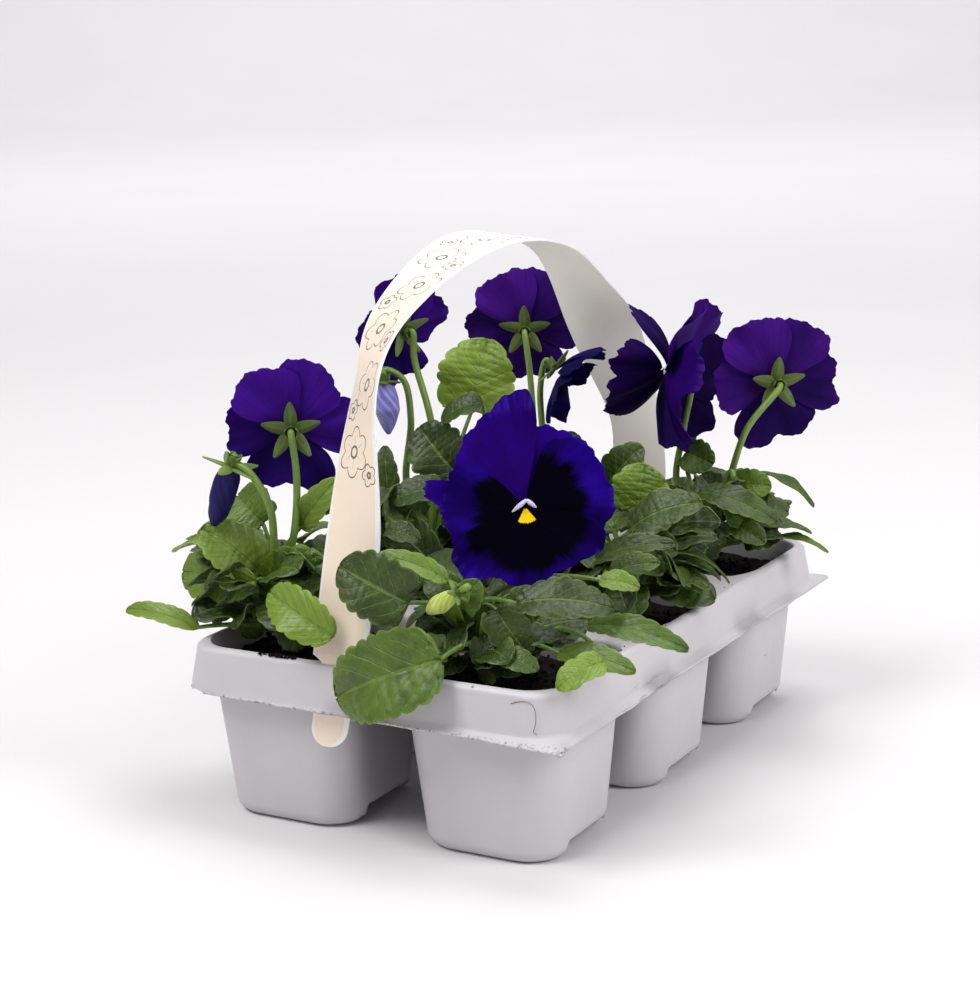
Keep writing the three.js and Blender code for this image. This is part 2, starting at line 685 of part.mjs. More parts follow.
// The front bloom's own petals, unequal as they grew
const FRONT_PETALS = [
  { angle: 50, reach: 36, width: 48, layer: 0 },
  { angle: 108, reach: 49, width: 52, layer: 1 },
  { angle: 5, reach: 37, width: 52, layer: 2 },
  { angle: 178, reach: 38, width: 50, layer: 2 },
  { angle: 265, reach: 36, width: 78, layer: 3 },
];

const BLOOMS = {
  a: { plant: 'front_right', petals: FRONT_PETALS, radius: 1, cup: 2, wave: 1.6, look: petalViolet },
  b: { plant: 'front_left', radius: 31, cup: -3, wave: 2.2, look: petalViolet },
  d: { plant: 'middle_left', radius: 29, cup: -2, wave: 3, look: petalViolet },
  f: { plant: 'back_left', radius: 31, cup: 3, wave: 2.2, look: petalViolet },
  g: { plant: 'back_left', radius: 22, cup: 10, wave: 2, look: petalIndigo },
  h: { plant: 'back_right', radius: 34, cup: 4, wave: 3.5, look: petalViolet },
  i: { plant: 'back_right', radius: 34, cup: -2, wave: 2.5, look: petalViolet },
};

/** One petal: rows across it from the heart to its rounded rim, cupped forward and waved. */
function petal(centre, frame, { angle, reach, width, layer }, { radius, cup, wave }) {
  const turn = THREE.MathUtils.degToRad(angle);
  const out = frame.x.clone().multiplyScalar(Math.cos(turn)).addScaledVector(frame.y, Math.sin(turn));
  const side = frame.z.clone().cross(out);
  const rows = PETAL_ROWS.map(([u, columns]) => {
    const row = [];
    for (let i = 0; i <= columns; i += 1) {
      const v = (2 * i) / columns - 1;
      const half = 0.5 * width * radius * (0.15 + 0.95 * u - 0.25 * u * u);
      const far = reach * radius * (u - 0.35 * u * u * v * v);
      const spot = out.clone().multiplyScalar(far).addScaledVector(side, -v * half);
      const around = Math.atan2(spot.dot(frame.y), spot.dot(frame.x));
      const share = spot.length() / (reach * radius);
      const ripple = wave * Math.sin(WAVES * around + 2.5 * share);
      const rise = 0.8 + layer * PETAL_LAYER + (cup + ripple) * share * share;
      row.push(spot.add(centre).addScaledVector(frame.z, rise));
    }
    return row;
  });
  return sheet(rows, rows.map(() => frame.z.clone().multiplyScalar(PETAL_THICK / 2)));
}

function bloom(spec, flower) {
  const frame = frameOf(flower.face, flower.up ?? UP);
  const centre = vec(flower.centre);
  const petals = spec.petals ?? OPEN_PETALS;
  const heart = new THREE.CylinderGeometry(HEART_RADIUS, HEART_RADIUS, 4 * PETAL_LAYER, 6);
  heart.rotateX(Math.PI / 2).translate(0, 0, 2 * PETAL_LAYER);
  heart.applyMatrix4(new THREE.Matrix4().makeBasis(frame.x, frame.y, frame.z).setPosition(centre));
  return joined([solidOf(heart), ...petals.map((p) => petal(centre, frame, p, spec))]);
}

for (const [name, spec] of Object.entries(BLOOMS)) {
  addNode(`bloom_${name}`, bloom(spec, FLOWERS[spec.plant][name]), spec.look);
}

// Rolled petals of the buds: [distance from the calyx, radius] along the bud
const BUDS = {
  c: { plant: 'front_left', look: petalIndigo, profile: [[0, 4], [6, 5.6], [15, 5.6], [22, 4.4], [27, 2]] },
  e: { plant: 'middle_left', look: petalFaded, profile: [[0, 3.5], [5, 5.6], [12, 6.3], [17, 4], [22, 1.5]] },
  j: { plant: 'back_right', look: petalIndigo, profile: [[0, 2], [4, 3.6], [9, 3], [12, 1.2]] },
  k: { plant: 'front_right', look: petalLime, profile: [[0, 2], [4, 3.6], [10, 4], [15, 2]] },
};

for (const [name, { plant, look, profile }] of Object.entries(BUDS)) {
  const flower = FLOWERS[plant][name];
  const frame = frameOf(flower.face, flower.up);
  const outline = profile.map(([along, radius]) => new THREE.Vector2(radius, along + GAP));
  const end = outline[outline.length - 1].y;
  const points = [new THREE.Vector2(0, GAP), ...outline, new THREE.Vector2(0, end + 0.6)];
  const lathe = new THREE.LatheGeometry(points, 8).rotateX(Math.PI / 2);
  const place = new THREE.Matrix4().makeBasis(frame.x, frame.y, frame.z);
  lathe.applyMatrix4(place.setPosition(vec(flower.centre)));
  addNode(`bud_${name}`, solidOf(lathe), look);
}

export default group;
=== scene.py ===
import bpy
import numpy as np
from mathutils import Matrix


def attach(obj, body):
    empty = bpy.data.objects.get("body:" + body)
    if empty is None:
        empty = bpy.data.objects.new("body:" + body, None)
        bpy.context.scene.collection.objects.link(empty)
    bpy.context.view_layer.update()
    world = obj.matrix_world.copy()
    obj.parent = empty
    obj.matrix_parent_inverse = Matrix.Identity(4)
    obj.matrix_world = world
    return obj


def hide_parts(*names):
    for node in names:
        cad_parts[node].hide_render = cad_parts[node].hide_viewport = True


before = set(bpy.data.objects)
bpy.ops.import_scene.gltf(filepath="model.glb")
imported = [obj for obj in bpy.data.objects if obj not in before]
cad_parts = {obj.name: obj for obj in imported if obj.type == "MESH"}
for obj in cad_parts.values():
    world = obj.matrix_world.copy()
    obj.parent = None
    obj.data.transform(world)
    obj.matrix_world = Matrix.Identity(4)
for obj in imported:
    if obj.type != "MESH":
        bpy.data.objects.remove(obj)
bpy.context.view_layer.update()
scene = bpy.context.scene

# ---- Studio ------------------------------------------------------------------------------------
# The planter stands on a sheet of white paper that rises behind it in one wide curve. The
# camera looks down on it from the front right, and the light comes from large soft panels.

# The camera's place in metres, its three directions, and its focal length in the photo's pixels
EYE_AT = (0.4738, -0.8510, 0.3423)
EYE_RIGHT = (0.8704, 0.4915, -0.0292)
EYE_UP = (-0.0842, 0.2070, 0.9747)
EYE_AHEAD = (-0.4851, 0.8459, -0.2216)
FOCAL_PX = 2244.6
LONG_SIDE_PX = 981
SENSOR = 36.0


def stand(thing, right, up, back, at):
    """Puts a camera or a light at a point, turned so that it looks away from `back`."""
    columns = np.eye(4)
    columns[:3] = np.column_stack([right, up, back, at])
    thing.matrix_world = Matrix(columns.tolist())


lens = bpy.data.cameras.new("camera")
lens.sensor_width = SENSOR
lens.lens = SENSOR * FOCAL_PX / LONG_SIDE_PX
lens.clip_start = 0.02
lens.clip_end = 50.0
camera = bpy.data.objects.new("camera", lens)
scene.collection.objects.link(camera)
stand(camera, EYE_RIGHT, EYE_UP, np.negative(EYE_AHEAD), EYE_AT)
scene.camera = camera
scene.view_settings.view_transform = "Standard"


class Value:
    """An output in a material. Sums, products and powers of values add their Math nodes."""

    def __init__(self, finish, socket):
        self.finish, self.socket = finish, socket

    def math(self, operation, *others, first=None):
        """A Math node on this value and the others, or on `first` and then this value."""
        terms = [self, *others] if first is None else [first, self]
        sockets = dict(enumerate(terms))
        return self.finish.node("ShaderNodeMath", {"operation": operation}, sockets)

    def __add__(self, other):
        return self.math("ADD", other)

    def __radd__(self, other):
        return self.math("ADD", other)

    def __sub__(self, other):
        return self.math("SUBTRACT", other)

    def __rsub__(self, other):
        return self.math("SUBTRACT", first=other)

    def __mul__(self, other):
        return self.math("MULTIPLY", other)

    def __rmul__(self, other):
        return self.math("MULTIPLY", other)

    def __truediv__(self, other):
        return self.math("DIVIDE", other)

    def __pow__(self, other):
        return self.math("POWER", other)

    def __abs__(self):
        return self.math("ABSOLUTE")

    def between(self, low, high):
        """0 below `low`, 1 above `high`, and a smooth step from one to the other."""
        settings = {"interpolation_type": "SMOOTHSTEP"}
        sockets = {"Value": self, "From Min": low, "From Max": high}
        return self.finish.node("ShaderNodeMapRange", settings, sockets)

    def band(self, low, low_end, high, high_end):
        """1 from `low_end` to `high`, 0 below `low` and above `high_end`, and smooth steps."""
        return self.between(low, low_end) * (1 - self.between(high, high_end))

    def part(self, name):
        """One of X, Y, Z of a vector."""
        return self.finish.node("ShaderNodeSeparateXYZ", {}, {0: self}, name)


class Finish:
    """A material under construction: one surface shader, and the nodes that feed it."""

    def __init__(self, name, **surface):
        self.material = bpy.data.materials.new(name)
        self.material.use_nodes = True
        self.tree = self.material.node_tree
        self.shader = self.tree.nodes["Principled BSDF"]
        self.set(**surface)

    def set(self, **surface):
        """Sets or links the surface's sockets; base_color stands for Base Color."""
        for name, value in surface.items():
            socket = name.replace("_", " ").title().replace("Ior", "IOR")
            self.feed(self.shader.inputs[socket], value)

    def feed(self, socket, value):
        """Links a value to a socket, or puts a number or colour in it."""
        if isinstance(value, Value):
            self.tree.links.new(value.socket, socket)
        elif socket.type == "RGBA" and len(value) == 3:
            socket.default_value = (*value, 1.0)
        else:
            socket.default_value = value

    def node(self, kind, settings, sockets, output=0):
        """Adds a node of any type: its settings first, then its sockets' values or links."""
        made = self.tree.nodes.new(kind)
        for name, value in settings.items():
            setattr(made, name, value)
        for name, value in sockets.items():
            self.feed(made.inputs[name], value)
        return Value(self, made.outputs[output])

    def place(self):
        """The point on the piece, in metres."""
        return self.node("ShaderNodeTexCoord", {}, {}, "Object")

    def own_map(self):
        """The point on the piece's own map: X across it and Y along it."""
        return self.node("ShaderNodeUVMap", {"uv_map": "surface"}, {})

    def attribute(self, name):
        """The plain number that the piece's points carry under this name."""
        return self.node("ShaderNodeAttribute", {"attribute_name": name}, {}, "Fac")

    def noise(self, where, scale, detail=3.0, rough=0.5):
        """Clouds of about 0.3 to 0.7, `scale` of them to a unit of `where`."""
        sockets = {"Vector": where, "Scale": scale, "Detail": detail, "Roughness": rough}
        return self.node("ShaderNodeTexNoise", {}, sockets)

    def mix(self, factor, one, other):
        """Colour `one` where the factor is 0 and `other` where it is 1."""
        sockets = {0: factor, 6: one, 7: other}
        return self.node("ShaderNodeMix", {"data_type": "RGBA"}, sockets, 2)

    def over(self, color, *coats):
        """Lays coats over a colour one by one. Each is a factor, 0 to 1, and the coat's colour."""
        for factor, coat in coats:
            color = self.mix(factor, color, coat)
        return color

    def stretch(self, where, scale):
        """The vector with each part multiplied."""
        settings = {"operation": "MULTIPLY"}
        return self.node("ShaderNodeVectorMath", settings, {0: where, 1: scale})

    def glow(self, weight, radius, scale):
        """Light that enters the piece comes out again near by, `radius` times `scale` away."""
        self.set(subsurface_weight=weight, subsurface_radius=radius, subsurface_scale=scale)

    def bump(self, height, distance, strength):
        """Relief from a height of 0 to 1, which stands for `distance` in metres."""
        sockets = {"Height": height, "Distance": distance, "Strength": strength}
        self.set(normal=self.node("ShaderNodeBump", {}, sockets))


def rows_of_quads(rows, around, closed=False):
    """Corner numbers of the quads between neighbours on a grid, joined round if closed."""
    row = np.arange(rows - 1)[:, None]
    step = np.arange(around if closed else around - 1)[None, :]
    beside = (step + 1) % around
    corners = [row * around + step, row * around + beside]
    corners += [(row + 1) * around + beside, (row + 1) * around + step]
    return np.stack(corners, -1).reshape(-1, 4)


def piece(name, patches, finishes, sharp):
    """
    One object from patches of surface. A patch has points (n, 3) in millimetres, quads (m, 4),
    and may have caps (rings of corner numbers), uv (n, 2), a finish number, and `marks`, which
    are plain numbers on its points. An edge steeper than `sharp` degrees isn't smoothed over.
    """
    points, quads, caps, uvs, looks, cap_looks, marks = [], [], [], [], [], [], {}
    names = sorted({key for patch in patches for key in patch.get("marks", {})})
    base = 0
    for patch in patches:
        own = patch["points"].reshape(-1, 3)
        points.append(own)
        quads.append(patch["quads"] + base)
        looks.append(np.zeros(len(patch["quads"]), int) + patch.get("look", 0))
        for ring in patch.get("caps", []):
            caps.append(np.asarray(ring) + base)
            cap_looks.append(np.max(patch.get("look", 0)))
        uvs.append(patch.get("uv", np.zeros((len(own), 2))).reshape(-1, 2))
        for key in names:
            value = patch.get("marks", {}).get(key, 0.0)
            marks.setdefault(key, []).append(np.broadcast_to(value, len(own)))
        base += len(own)
    corners = np.concatenate([np.concatenate(quads).ravel(), *caps]).astype(np.int32)
    count = sum(len(q) for q in quads)
    cap_starts = count * 4 + np.cumsum([0] + [len(c) for c in caps])[:-1]
    starts = np.concatenate([np.arange(count) * 4, cap_starts])
    mesh = bpy.data.meshes.new(name)
    mesh.vertices.add(base)
    mesh.vertices.foreach_set("co", (np.concatenate(points) * 0.001).astype(np.float32).ravel())
    mesh.loops.add(len(corners))
    mesh.loops.foreach_set("vertex_index", corners)
    mesh.polygons.add(count + len(caps))
    mesh.polygons.foreach_set("loop_start", starts.astype(np.int32))
    for finish in finishes:
        mesh.materials.append(finish.material)
    numbers = np.concatenate([*looks, np.array(cap_looks, int)]).astype(np.int32)
    mesh.polygons.foreach_set("material_index", numbers)
    mesh.update(calc_edges=True)
    mesh.shade_smooth()
    mesh.set_sharp_from_angle(angle=np.radians(sharp))
    layer = mesh.uv_layers.new(name="surface")
    layer.uv.foreach_set("vector", np.concatenate(uvs)[corners].astype(np.float32).ravel())
    for key, values in marks.items():
        mark = mesh.attributes.new(key, "FLOAT", "POINT")
        mark.data.foreach_set("value", np.concatenate(values).astype(np.float32))
    made = bpy.data.objects.new(name, mesh)
    scene.collection.objects.link(made)
    return made


paper = Finish("white_paper", roughness=0.9, specular_ior_level=0.1)
paper_grain = paper.noise(paper.place(), 3.0)
paper.set(base_color=paper.mix(paper_grain, (0.69, 0.68, 0.69), (0.73, 0.72, 0.73)))

# The sheet from its near edge to its top, in mm: where it starts, the length of its level part,
# the radius of its bend, the height above that, and its half width
PAPER_START, PAPER_LEVEL, PAPER_BEND, PAPER_WALL, PAPER_HALF = -4000, 8500, 2500, 3150, 9000
# The shares of its rows between which it bends
BEND_FROM, BEND_TO = 0.35, 0.65

row = np.linspace(0, 1, 60)
sweep = np.clip((row - BEND_FROM) / (BEND_TO - BEND_FROM), 0, 1) * np.pi / 2
run = PAPER_START + PAPER_LEVEL * np.minimum(row, BEND_FROM) / BEND_FROM + PAPER_BEND * np.sin(sweep)
rise = PAPER_BEND * (1 - np.cos(sweep)) + PAPER_WALL * np.clip(row - BEND_TO, 0, 1) / (1 - BEND_TO)
aside = np.linspace(-PAPER_HALF, PAPER_HALF, 13)
ahead = np.array(EYE_AHEAD[:2]) / np.hypot(*EYE_AHEAD[:2])
backdrop_points = np.stack([
    run[:, None] * ahead[0] + aside[None, :] * ahead[1],
    run[:, None] * ahead[1] - aside[None, :] * ahead[0],
    rise[:, None] + 0 * aside[None, :],
], -1)
backdrop_quads = rows_of_quads(len(row), len(aside))[:, ::-1]
backdrop = piece("backdrop", [{"points": backdrop_points, "quads": backdrop_quads}], [paper], 50.0)


def unit(vector):
    """The vector at length 1."""
    vector = np.asarray(vector, float)
    return vector / np.linalg.norm(vector)


def panel(name, at, aim, size, power, tint):
    """A square soft panel at a point, turned to face another."""
    light = bpy.data.lights.new(name, "AREA")
    light.size, light.energy, light.color = size, power, tint
    lamp = bpy.data.objects.new(name, light)
    scene.collection.objects.link(lamp)
    back = unit(np.subtract(at, aim))
    side = unit(np.cross((0.0, 0.0, 1.0), back))
    stand(lamp, side, np.cross(back, side), back, at)


# The middle of the planter, which three of the panels face, in metres
PLANTER = (0, 0, 0.1)
panel("key", (-0.5, -0.9, 1.5), PLANTER, 0.8, 19.5, (1.0, 0.99, 0.98))
panel("side", (1.5, -0.1, 1.1), PLANTER, 0.9, 16.5, (1.0, 0.99, 0.99))
panel("top", (0.1, 0.5, 1.9), PLANTER, 1.0, 17, (1.0, 0.99, 0.99))
panel("paper", (-1.75, 3.1, 3.4), (-2.9, 5.2, 0.6), 5.0, 168, (1.0, 0.985, 1.0))
sky = bpy.data.worlds.new("studio_light")
sky.use_nodes = True
sky_light = sky.node_tree.nodes["Background"]
sky_light.inputs["Color"].default_value = (1.0, 0.985, 1.0, 1.0)
sky_light.inputs["Strength"].default_value = 0.36
scene.world = sky

# ---- Tray --------------------------------------------------------------------------------------
# One sheet of light grey plastic, drawn by vacuum into six tapered pots with a rounded deck,
# a skirt and a trimmed flange. Each pot stands on two feet with an air channel between them.

# Sizes are in mm, and half sizes are along x and y
RIM_Z = 75.5
SHEET = 1.0
PITCH = np.array([95.0, 93.3])
CELLS = [(side * PITCH[0] / 2, row * PITCH[1]) for row in (-1, 0, 1) for side in (-1, 1)]
MOUTH_HALF = np.array([36.6, 36.4])
FOOT_HALF = np.array([31.0, 30.5])
POT_CORNER = 17.0
FOOT_ROUND = 6.0
# Shares of the floor and heights of the wall where a pot has a ring of points
FLOOR_SHARES = (0.14, 0.3, 0.5, 0.7, 0.85)
WALL_LEVELS = (7.2, 8.2, 10, 16, 24, 32, 40, 48, 56, 63, 68, 72.6)
# The air channel between a pot's feet: its height, its two sides, how far they slope, and the
# height below which points are lifted over it
CHANNEL_Z = 7.0
CHANNEL_Y = (-15.0, 22.0)
CHANNEL_SLOPE = 1.5
CHANNEL_BELOW = 12
# The mouth's rounded lip: its depth, and the share of the way to the cell's edge that it takes
LIP_DOWN = 2.2
LIP_SHARE = 0.275
DECK_HALF = np.array([85.1, 131.8])
DECK_CORNER = 14.0
# How far the deck's shoulder and then the skirt go out and down, and the radius of their corners
SHOULDER_OUT, SHOULDER_DOWN, SHOULDER_CORNER = 2.4, 2.6, 14.4
SKIRT_OUT, SKIRT_DOWN, SKIRT_CORNER = 2.0, 14.0, 14.6
# The flange is trimmed askew: half lengths and radius of each corner
FLANGE_Z = 56.9
FLANGE = ([(93.5, 139.8), (91.3, 138.8), (90.1, 136.4), (93.5, 139.8)], [3, 8, 16, 3])
FLANGE_SHARES = (0.06, 0.14, 0.25, 0.4, 0.6, 0.8, 1.0)
# Where the flange is torn, how far the damage reaches from there, and how much it sags
TEAR_AT, TEAR_REACH, TEAR_SAG = (93, -140), 24.0, 1.5
# Points on each rounded corner and each straight side, and the corners' signs in one turn
CORNER_STEPS, SIDE_STEPS = 10, 8
CORNERS = np.array([(1, 1), (-1, 1), (-1, -1), (1, -1)], float)


def ring_codes():
    """
    For one turn round a pot: the corner that each point belongs to, its outward direction, and
    its share of the straight side from one corner's end to the next corner's start.
    """
    which, heading, share = [], [], []
    for k in range(4):
        angle = (k + np.linspace(0, 1, CORNER_STEPS + 1)) * np.pi / 2
        which += [k] * (CORNER_STEPS + SIDE_STEPS)
        straight = np.full(SIDE_STEPS - 1, (k + 1) * np.pi / 2)
        heading.append(np.concatenate([angle, straight]))
        share += [0.0] * (CORNER_STEPS + 1) + [step / SIDE_STEPS for step in range(1, SIDE_STEPS)]
    heading = np.concatenate(heading)
    return np.array(which), np.stack([np.cos(heading), np.sin(heading)], -1), np.array(share)


WHICH, HEADING, SHARE = ring_codes()


def pot_ring(half, radius):
    """A rounded rectangle: corner centre plus radius along the heading, and even side steps."""
    centre = CORNERS * (np.asarray(half) - radius)
    here = centre[WHICH] + radius * HEADING
    beyond = centre[(WHICH + 1) % 4] + radius * HEADING
    return here * (1 - SHARE[:, None]) + beyond * SHARE[:, None]


def cell_edge(cell):
    """
    Where a pot's deck ends: each point runs out along its heading to the line shared with the
    next cell, or to the deck's own rounded outline. The point nearest a shared corner sits on it.
    """
    edge = pot_ring(MOUTH_HALF, POT_CORNER)
    for k, sign in enumerate(CORNERS):
        outer = np.sign(cell) == sign
        limit = np.where(outer, DECK_HALF - np.abs(cell), PITCH / 2)
        on_arc = (WHICH == k) & (SHARE == 0)
        on_side = (WHICH == k) & (SHARE > 0)
        centre = sign * (MOUTH_HALF - POT_CORNER)
        if outer.all():
            edge[on_arc] = sign * (limit - DECK_CORNER) + DECK_CORNER * HEADING[on_arc]
        else:
            room = limit - np.abs(centre)
            way = np.abs(HEADING[on_arc])
            far = np.min(room / np.maximum(way, 1e-9), axis=1)
            edge[on_arc] = centre + HEADING[on_arc] * far[:, None]
            miss = np.arctan2(way[:, 1], way[:, 0]) - np.arctan2(room[1], room[0])
            edge[np.flatnonzero(on_arc)[np.argmin(np.abs(miss))]] = sign * limit
        axis = (k + 1) % 2
        edge[on_side, axis] = (sign * limit)[axis]
    return edge


def tray_heights(points):
    """Lifts a pot's floor over the air channel along x: a flat roof with a slope at each side."""
    near, far = CHANNEL_Y
    y = points[..., 1]
    inside = np.minimum(y - near + CHANNEL_SLOPE, far + CHANNEL_SLOPE - y) / CHANNEL_SLOPE
    roof = SHEET + CHANNEL_Z * np.clip(inside, 0, 1)
    return np.maximum(points[..., 2], roof)


def pot_half(z):
    """A pot's half sizes at a height: they grow evenly from the foot to the mouth."""
    return FOOT_HALF + (MOUTH_HALF - FOOT_HALF) * (z - FOOT_ROUND) / (RIM_Z - FOOT_ROUND)


def pot_patch(cell):
    """
    A pot and the deck round it, in rings from the drain hole out over the floor, round the foot
    by a quarter circle, up the wall, round the lip by another, and out to the cell's edge.
    """
    levels = []
    floor_half, floor_corner = FOOT_HALF - FOOT_ROUND, POT_CORNER - FOOT_ROUND
    for share in FLOOR_SHARES:
        levels.append((pot_ring(floor_half * share, floor_corner * share), SHEET))
    for bend in np.linspace(0, 1, 7) * np.pi / 2:
        inset = (FOOT_ROUND - SHEET) * (1 - np.sin(bend))
        rise = SHEET + (FOOT_ROUND - SHEET) * (1 - np.cos(bend))
        levels.append((pot_ring(FOOT_HALF - inset, POT_CORNER - inset), rise))
    for z in WALL_LEVELS:
        levels.append((pot_ring(pot_half(z), POT_CORNER), z))
    edge = cell_edge(cell)
    lip = pot_ring(MOUTH_HALF, POT_CORNER)
    for bend in np.linspace(0.2, 1, 5) * np.pi / 2:
        share = LIP_SHARE * (1 - np.cos(bend))
        levels.append((lip + (edge - lip) * share, RIM_Z - LIP_DOWN * (1 - np.sin(bend))))
    for share in (0.45, 0.7, 1.0):
        levels.append((lip + (edge - lip) * share, RIM_Z))
    rings = np.stack([np.column_stack([ring, np.full(len(ring), z)]) for ring, z in levels])
    rings[..., 2] = np.where(rings[..., 2] < CHANNEL_BELOW, tray_heights(rings), rings[..., 2])
    rings[..., :2] += cell
    return {"points": rings, "quads": rows_of_quads(len(levels), len(WHICH), closed=True)[:, ::-1]}


def outline_codes():
    """The points of the deck's outer edge in one turn, with the way each one faces."""
    spots = []
    for cell in CELLS:
        edge = cell_edge(cell) + cell
        on_x = np.abs(np.abs(edge[:, 0]) - DECK_HALF[0]) < 1e-6
        on_y = np.abs(np.abs(edge[:, 1]) - DECK_HALF[1]) < 1e-6
        centre = np.sign(edge) * (DECK_HALF - DECK_CORNER)
        round_ones = np.all(np.abs(edge) > DECK_HALF - DECK_CORNER - 1e-6, axis=1)
        facing = np.where(on_x[:, None], [1.0, 0.0], [0.0, 1.0]) * np.sign(edge)
        facing[round_ones] = (edge - centre)[round_ones] / DECK_CORNER
        keep = on_x | on_y | round_ones
        spots.append(np.column_stack([edge, facing, round_ones])[keep])
    spots = np.unique(np.round(np.concatenate(spots), 6), axis=0)
    order = np.argsort(np.arctan2(spots[:, 1] / DECK_HALF[1], spots[:, 0] / DECK_HALF[0]))
    return spots[order]


OUTLINE = outline_codes()


def outer_ring(half, radii, z):
    """
    The deck's outline moved out to another rounded rectangle. `half` and `radii` have a row for
    each corner in the order of CORNERS; along a side the half length runs evenly between its two.
    """
    place, facing, on_corner = OUTLINE[:, :2], OUTLINE[:, 2:4], OUTLINE[:, 4:] > 0
    half, radii = np.broadcast_to(half, (4, 2)), np.broadcast_to(radii, 4)
    share = 0.5 + 0.5 * np.clip(place / DECK_HALF, -1, 1)
    near = place[:, 1] < 0
    right = place[:, 0] > 0
    far_y = half[1, 1] + (half[0, 1] - half[1, 1]) * share[:, 0]
    near_y = half[2, 1] + (half[3, 1] - half[2, 1]) * share[:, 0]
    right_x = half[3, 0] + (half[0, 0] - half[3, 0]) * share[:, 1]
    left_x = half[2, 0] + (half[1, 0] - half[2, 0]) * share[:, 1]
    reach = np.column_stack([np.where(right, right_x, left_x), np.where(near, near_y, far_y)])
    side = np.where(np.abs(facing) > 0.5, np.sign(facing) * reach, place)
    which = np.where(near, np.where(right, 3, 2), np.where(right, 0, 1))
    radius = radii[which][:, None]
    corner = np.sign(place) * (half[which] - radius) + radius * facing
    return np.column_stack([np.where(on_corner, corner, side), np.full(len(place), z)])


def skirt_patch():
    """
    Rings from the deck's edge over its shoulder, down the skirt and out over the flange, whose
    height falls away with a power of the way out. Its edge waves a little, and at the near right
    corner it sags and is torn.
    """
    rings = [outer_ring(DECK_HALF, DECK_CORNER, RIM_Z)]
    for bend in np.linspace(0.15, 1, 8) * np.pi / 2:
        half = DECK_HALF + SHOULDER_OUT * np.sin(bend)
        z = RIM_Z - SHOULDER_DOWN * (1 - np.cos(bend))
        rings.append(outer_ring(half, SHOULDER_CORNER, z))
    for share in (0.1, 0.3, 0.5, 0.7, 0.9, 1.0):
        half = DECK_HALF + SHOULDER_OUT + SKIRT_OUT * share
        z = RIM_Z - SHOULDER_DOWN - SKIRT_DOWN * share
        rings.append(outer_ring(half, SKIRT_CORNER, z))
    flange = outer_ring(*FLANGE, FLANGE_Z)
    start = rings[-1]
    for share in FLANGE_SHARES:
        ring = start + (flange - start) * share
        ring[:, 2] = FLANGE_Z + (start[0, 2] - FLANGE_Z) * (1 - share) ** 2.5
        rings.append(ring)
    rings = np.stack(rings)
    count = len(FLANGE_SHARES)
    x, y = rings[-count:, :, 0], rings[-count:, :, 1]
    torn = np.exp(-((x - TEAR_AT[0]) ** 2 + (y - TEAR_AT[1]) ** 2) / (2 * TEAR_REACH**2))
    weight = np.array(FLANGE_SHARES)[:, None] ** 2
    wave = 0.3 * np.sin(0.11 * x + 0.07 * y) + 0.2 * np.sin(0.23 * y - 0.3 * x)
    rings[-count:, :, 2] += weight * (wave - TEAR_SAG * torn)
    ragged = 0.14 + 0.8 * torn[-1]
    rings[-1, :, 0] += np.sign(x[-1]) * ragged * np.sin(1.1 * y[-1]) * np.sin(0.37 * y[-1])
    rings[-1, :, 1] += np.sign(y[-1]) * ragged * np.sin(1.3 * x[-1]) * np.cos(0.33 * x[-1])
    return {"points": rings, "quads": rows_of_quads(len(rings), rings.shape[1], closed=True)[:, ::-1]}


tray_plastic = Finish("tray_plastic", specular_ior_level=0.4)
tray_place = tray_plastic.place()
tray_x, tray_y, tray_z = (tray_place.part(axis) for axis in "XYZ")
cloud = tray_plastic.noise(tray_place, 22.0, 4.0, 0.6)
scuff = tray_plastic.noise(tray_plastic.stretch(tray_place, (1.0, 1.0, 0.35)), 160.0, 5.0, 0.7)
# Masks of the dirt and of painted shade, placed in metres. First, dark specks all over
speck = tray_plastic.node("ShaderNodeTexVoronoi", {}, {"Vector": tray_place, "Scale": 62.0})
speck_size = tray_plastic.noise(tray_place, 40.0, 1.0)
dots = (1 - speck.between(0.02, 0.055)) * speck_size.between(0.56, 0.62)
# Soil smeared in streaks along the near half of the right flange
smear = tray_plastic.noise(tray_plastic.stretch(tray_place, (1.0, 0.22, 1.0)), 330.0, 6.0, 0.8)
smear = smear.between(0.5, 0.66) * tray_plastic.noise(tray_place, 28.0, 2.0).between(0.42, 0.6)
smear = smear * tray_x.between(0.0865, 0.0885) * tray_z.band(0.055, 0.0565, 0.0595, 0.065)
smear = smear * (1 - tray_y.between(-0.02, 0.03))
# A broken dark line along the cut edge of the front flange
line = tray_plastic.noise(tray_place, 480.0, 5.0, 0.8).between(0.52, 0.62)
line = line * tray_z.band(0.054, 0.0555, 0.0566, 0.0576) * (1 - tray_y.between(-0.136, -0.13))
# Dust on the deck
dust = tray_plastic.noise(tray_place, 95.0, 6.0, 0.75).between(0.54, 0.74)
dust = dust * tray_z.between(0.0745, 0.0752)
# Painted shade: the plastic darker deep in the gaps between the pots, round x = 0 and y = GAP_Y to
# either side
GAP_Y = 0.0466
beside_x = 1 - abs(tray_x).between(0.010, 0.019)
beside_y = 1 - (abs(abs(tray_y) - GAP_Y)).between(0.008, 0.017)
painted_gap_shade = beside_x.math("MAXIMUM", beside_y) * tray_z.band(0.0, 0.02, 0.045, 0.070)
grey = tray_plastic.over(
    tray_plastic.mix(cloud, (0.51, 0.49, 0.515), (0.60, 0.58, 0.605)),
    (scuff.between(0.6, 0.85) * 0.5, (0.60, 0.585, 0.60)),
    # Painted shade deep in the gaps between the pots
    (painted_gap_shade * 0.75, (0.13, 0.125, 0.13)),
    (dust * 0.35, (0.22, 0.18, 0.14)),
    (dots * 0.85, (0.09, 0.075, 0.06)),
    (smear * 0.85, (0.085, 0.07, 0.055)),
    (line * 0.8, (0.10, 0.08, 0.06)),
)
tray_plastic.set(base_color=grey, roughness=0.32 + 0.22 * scuff)
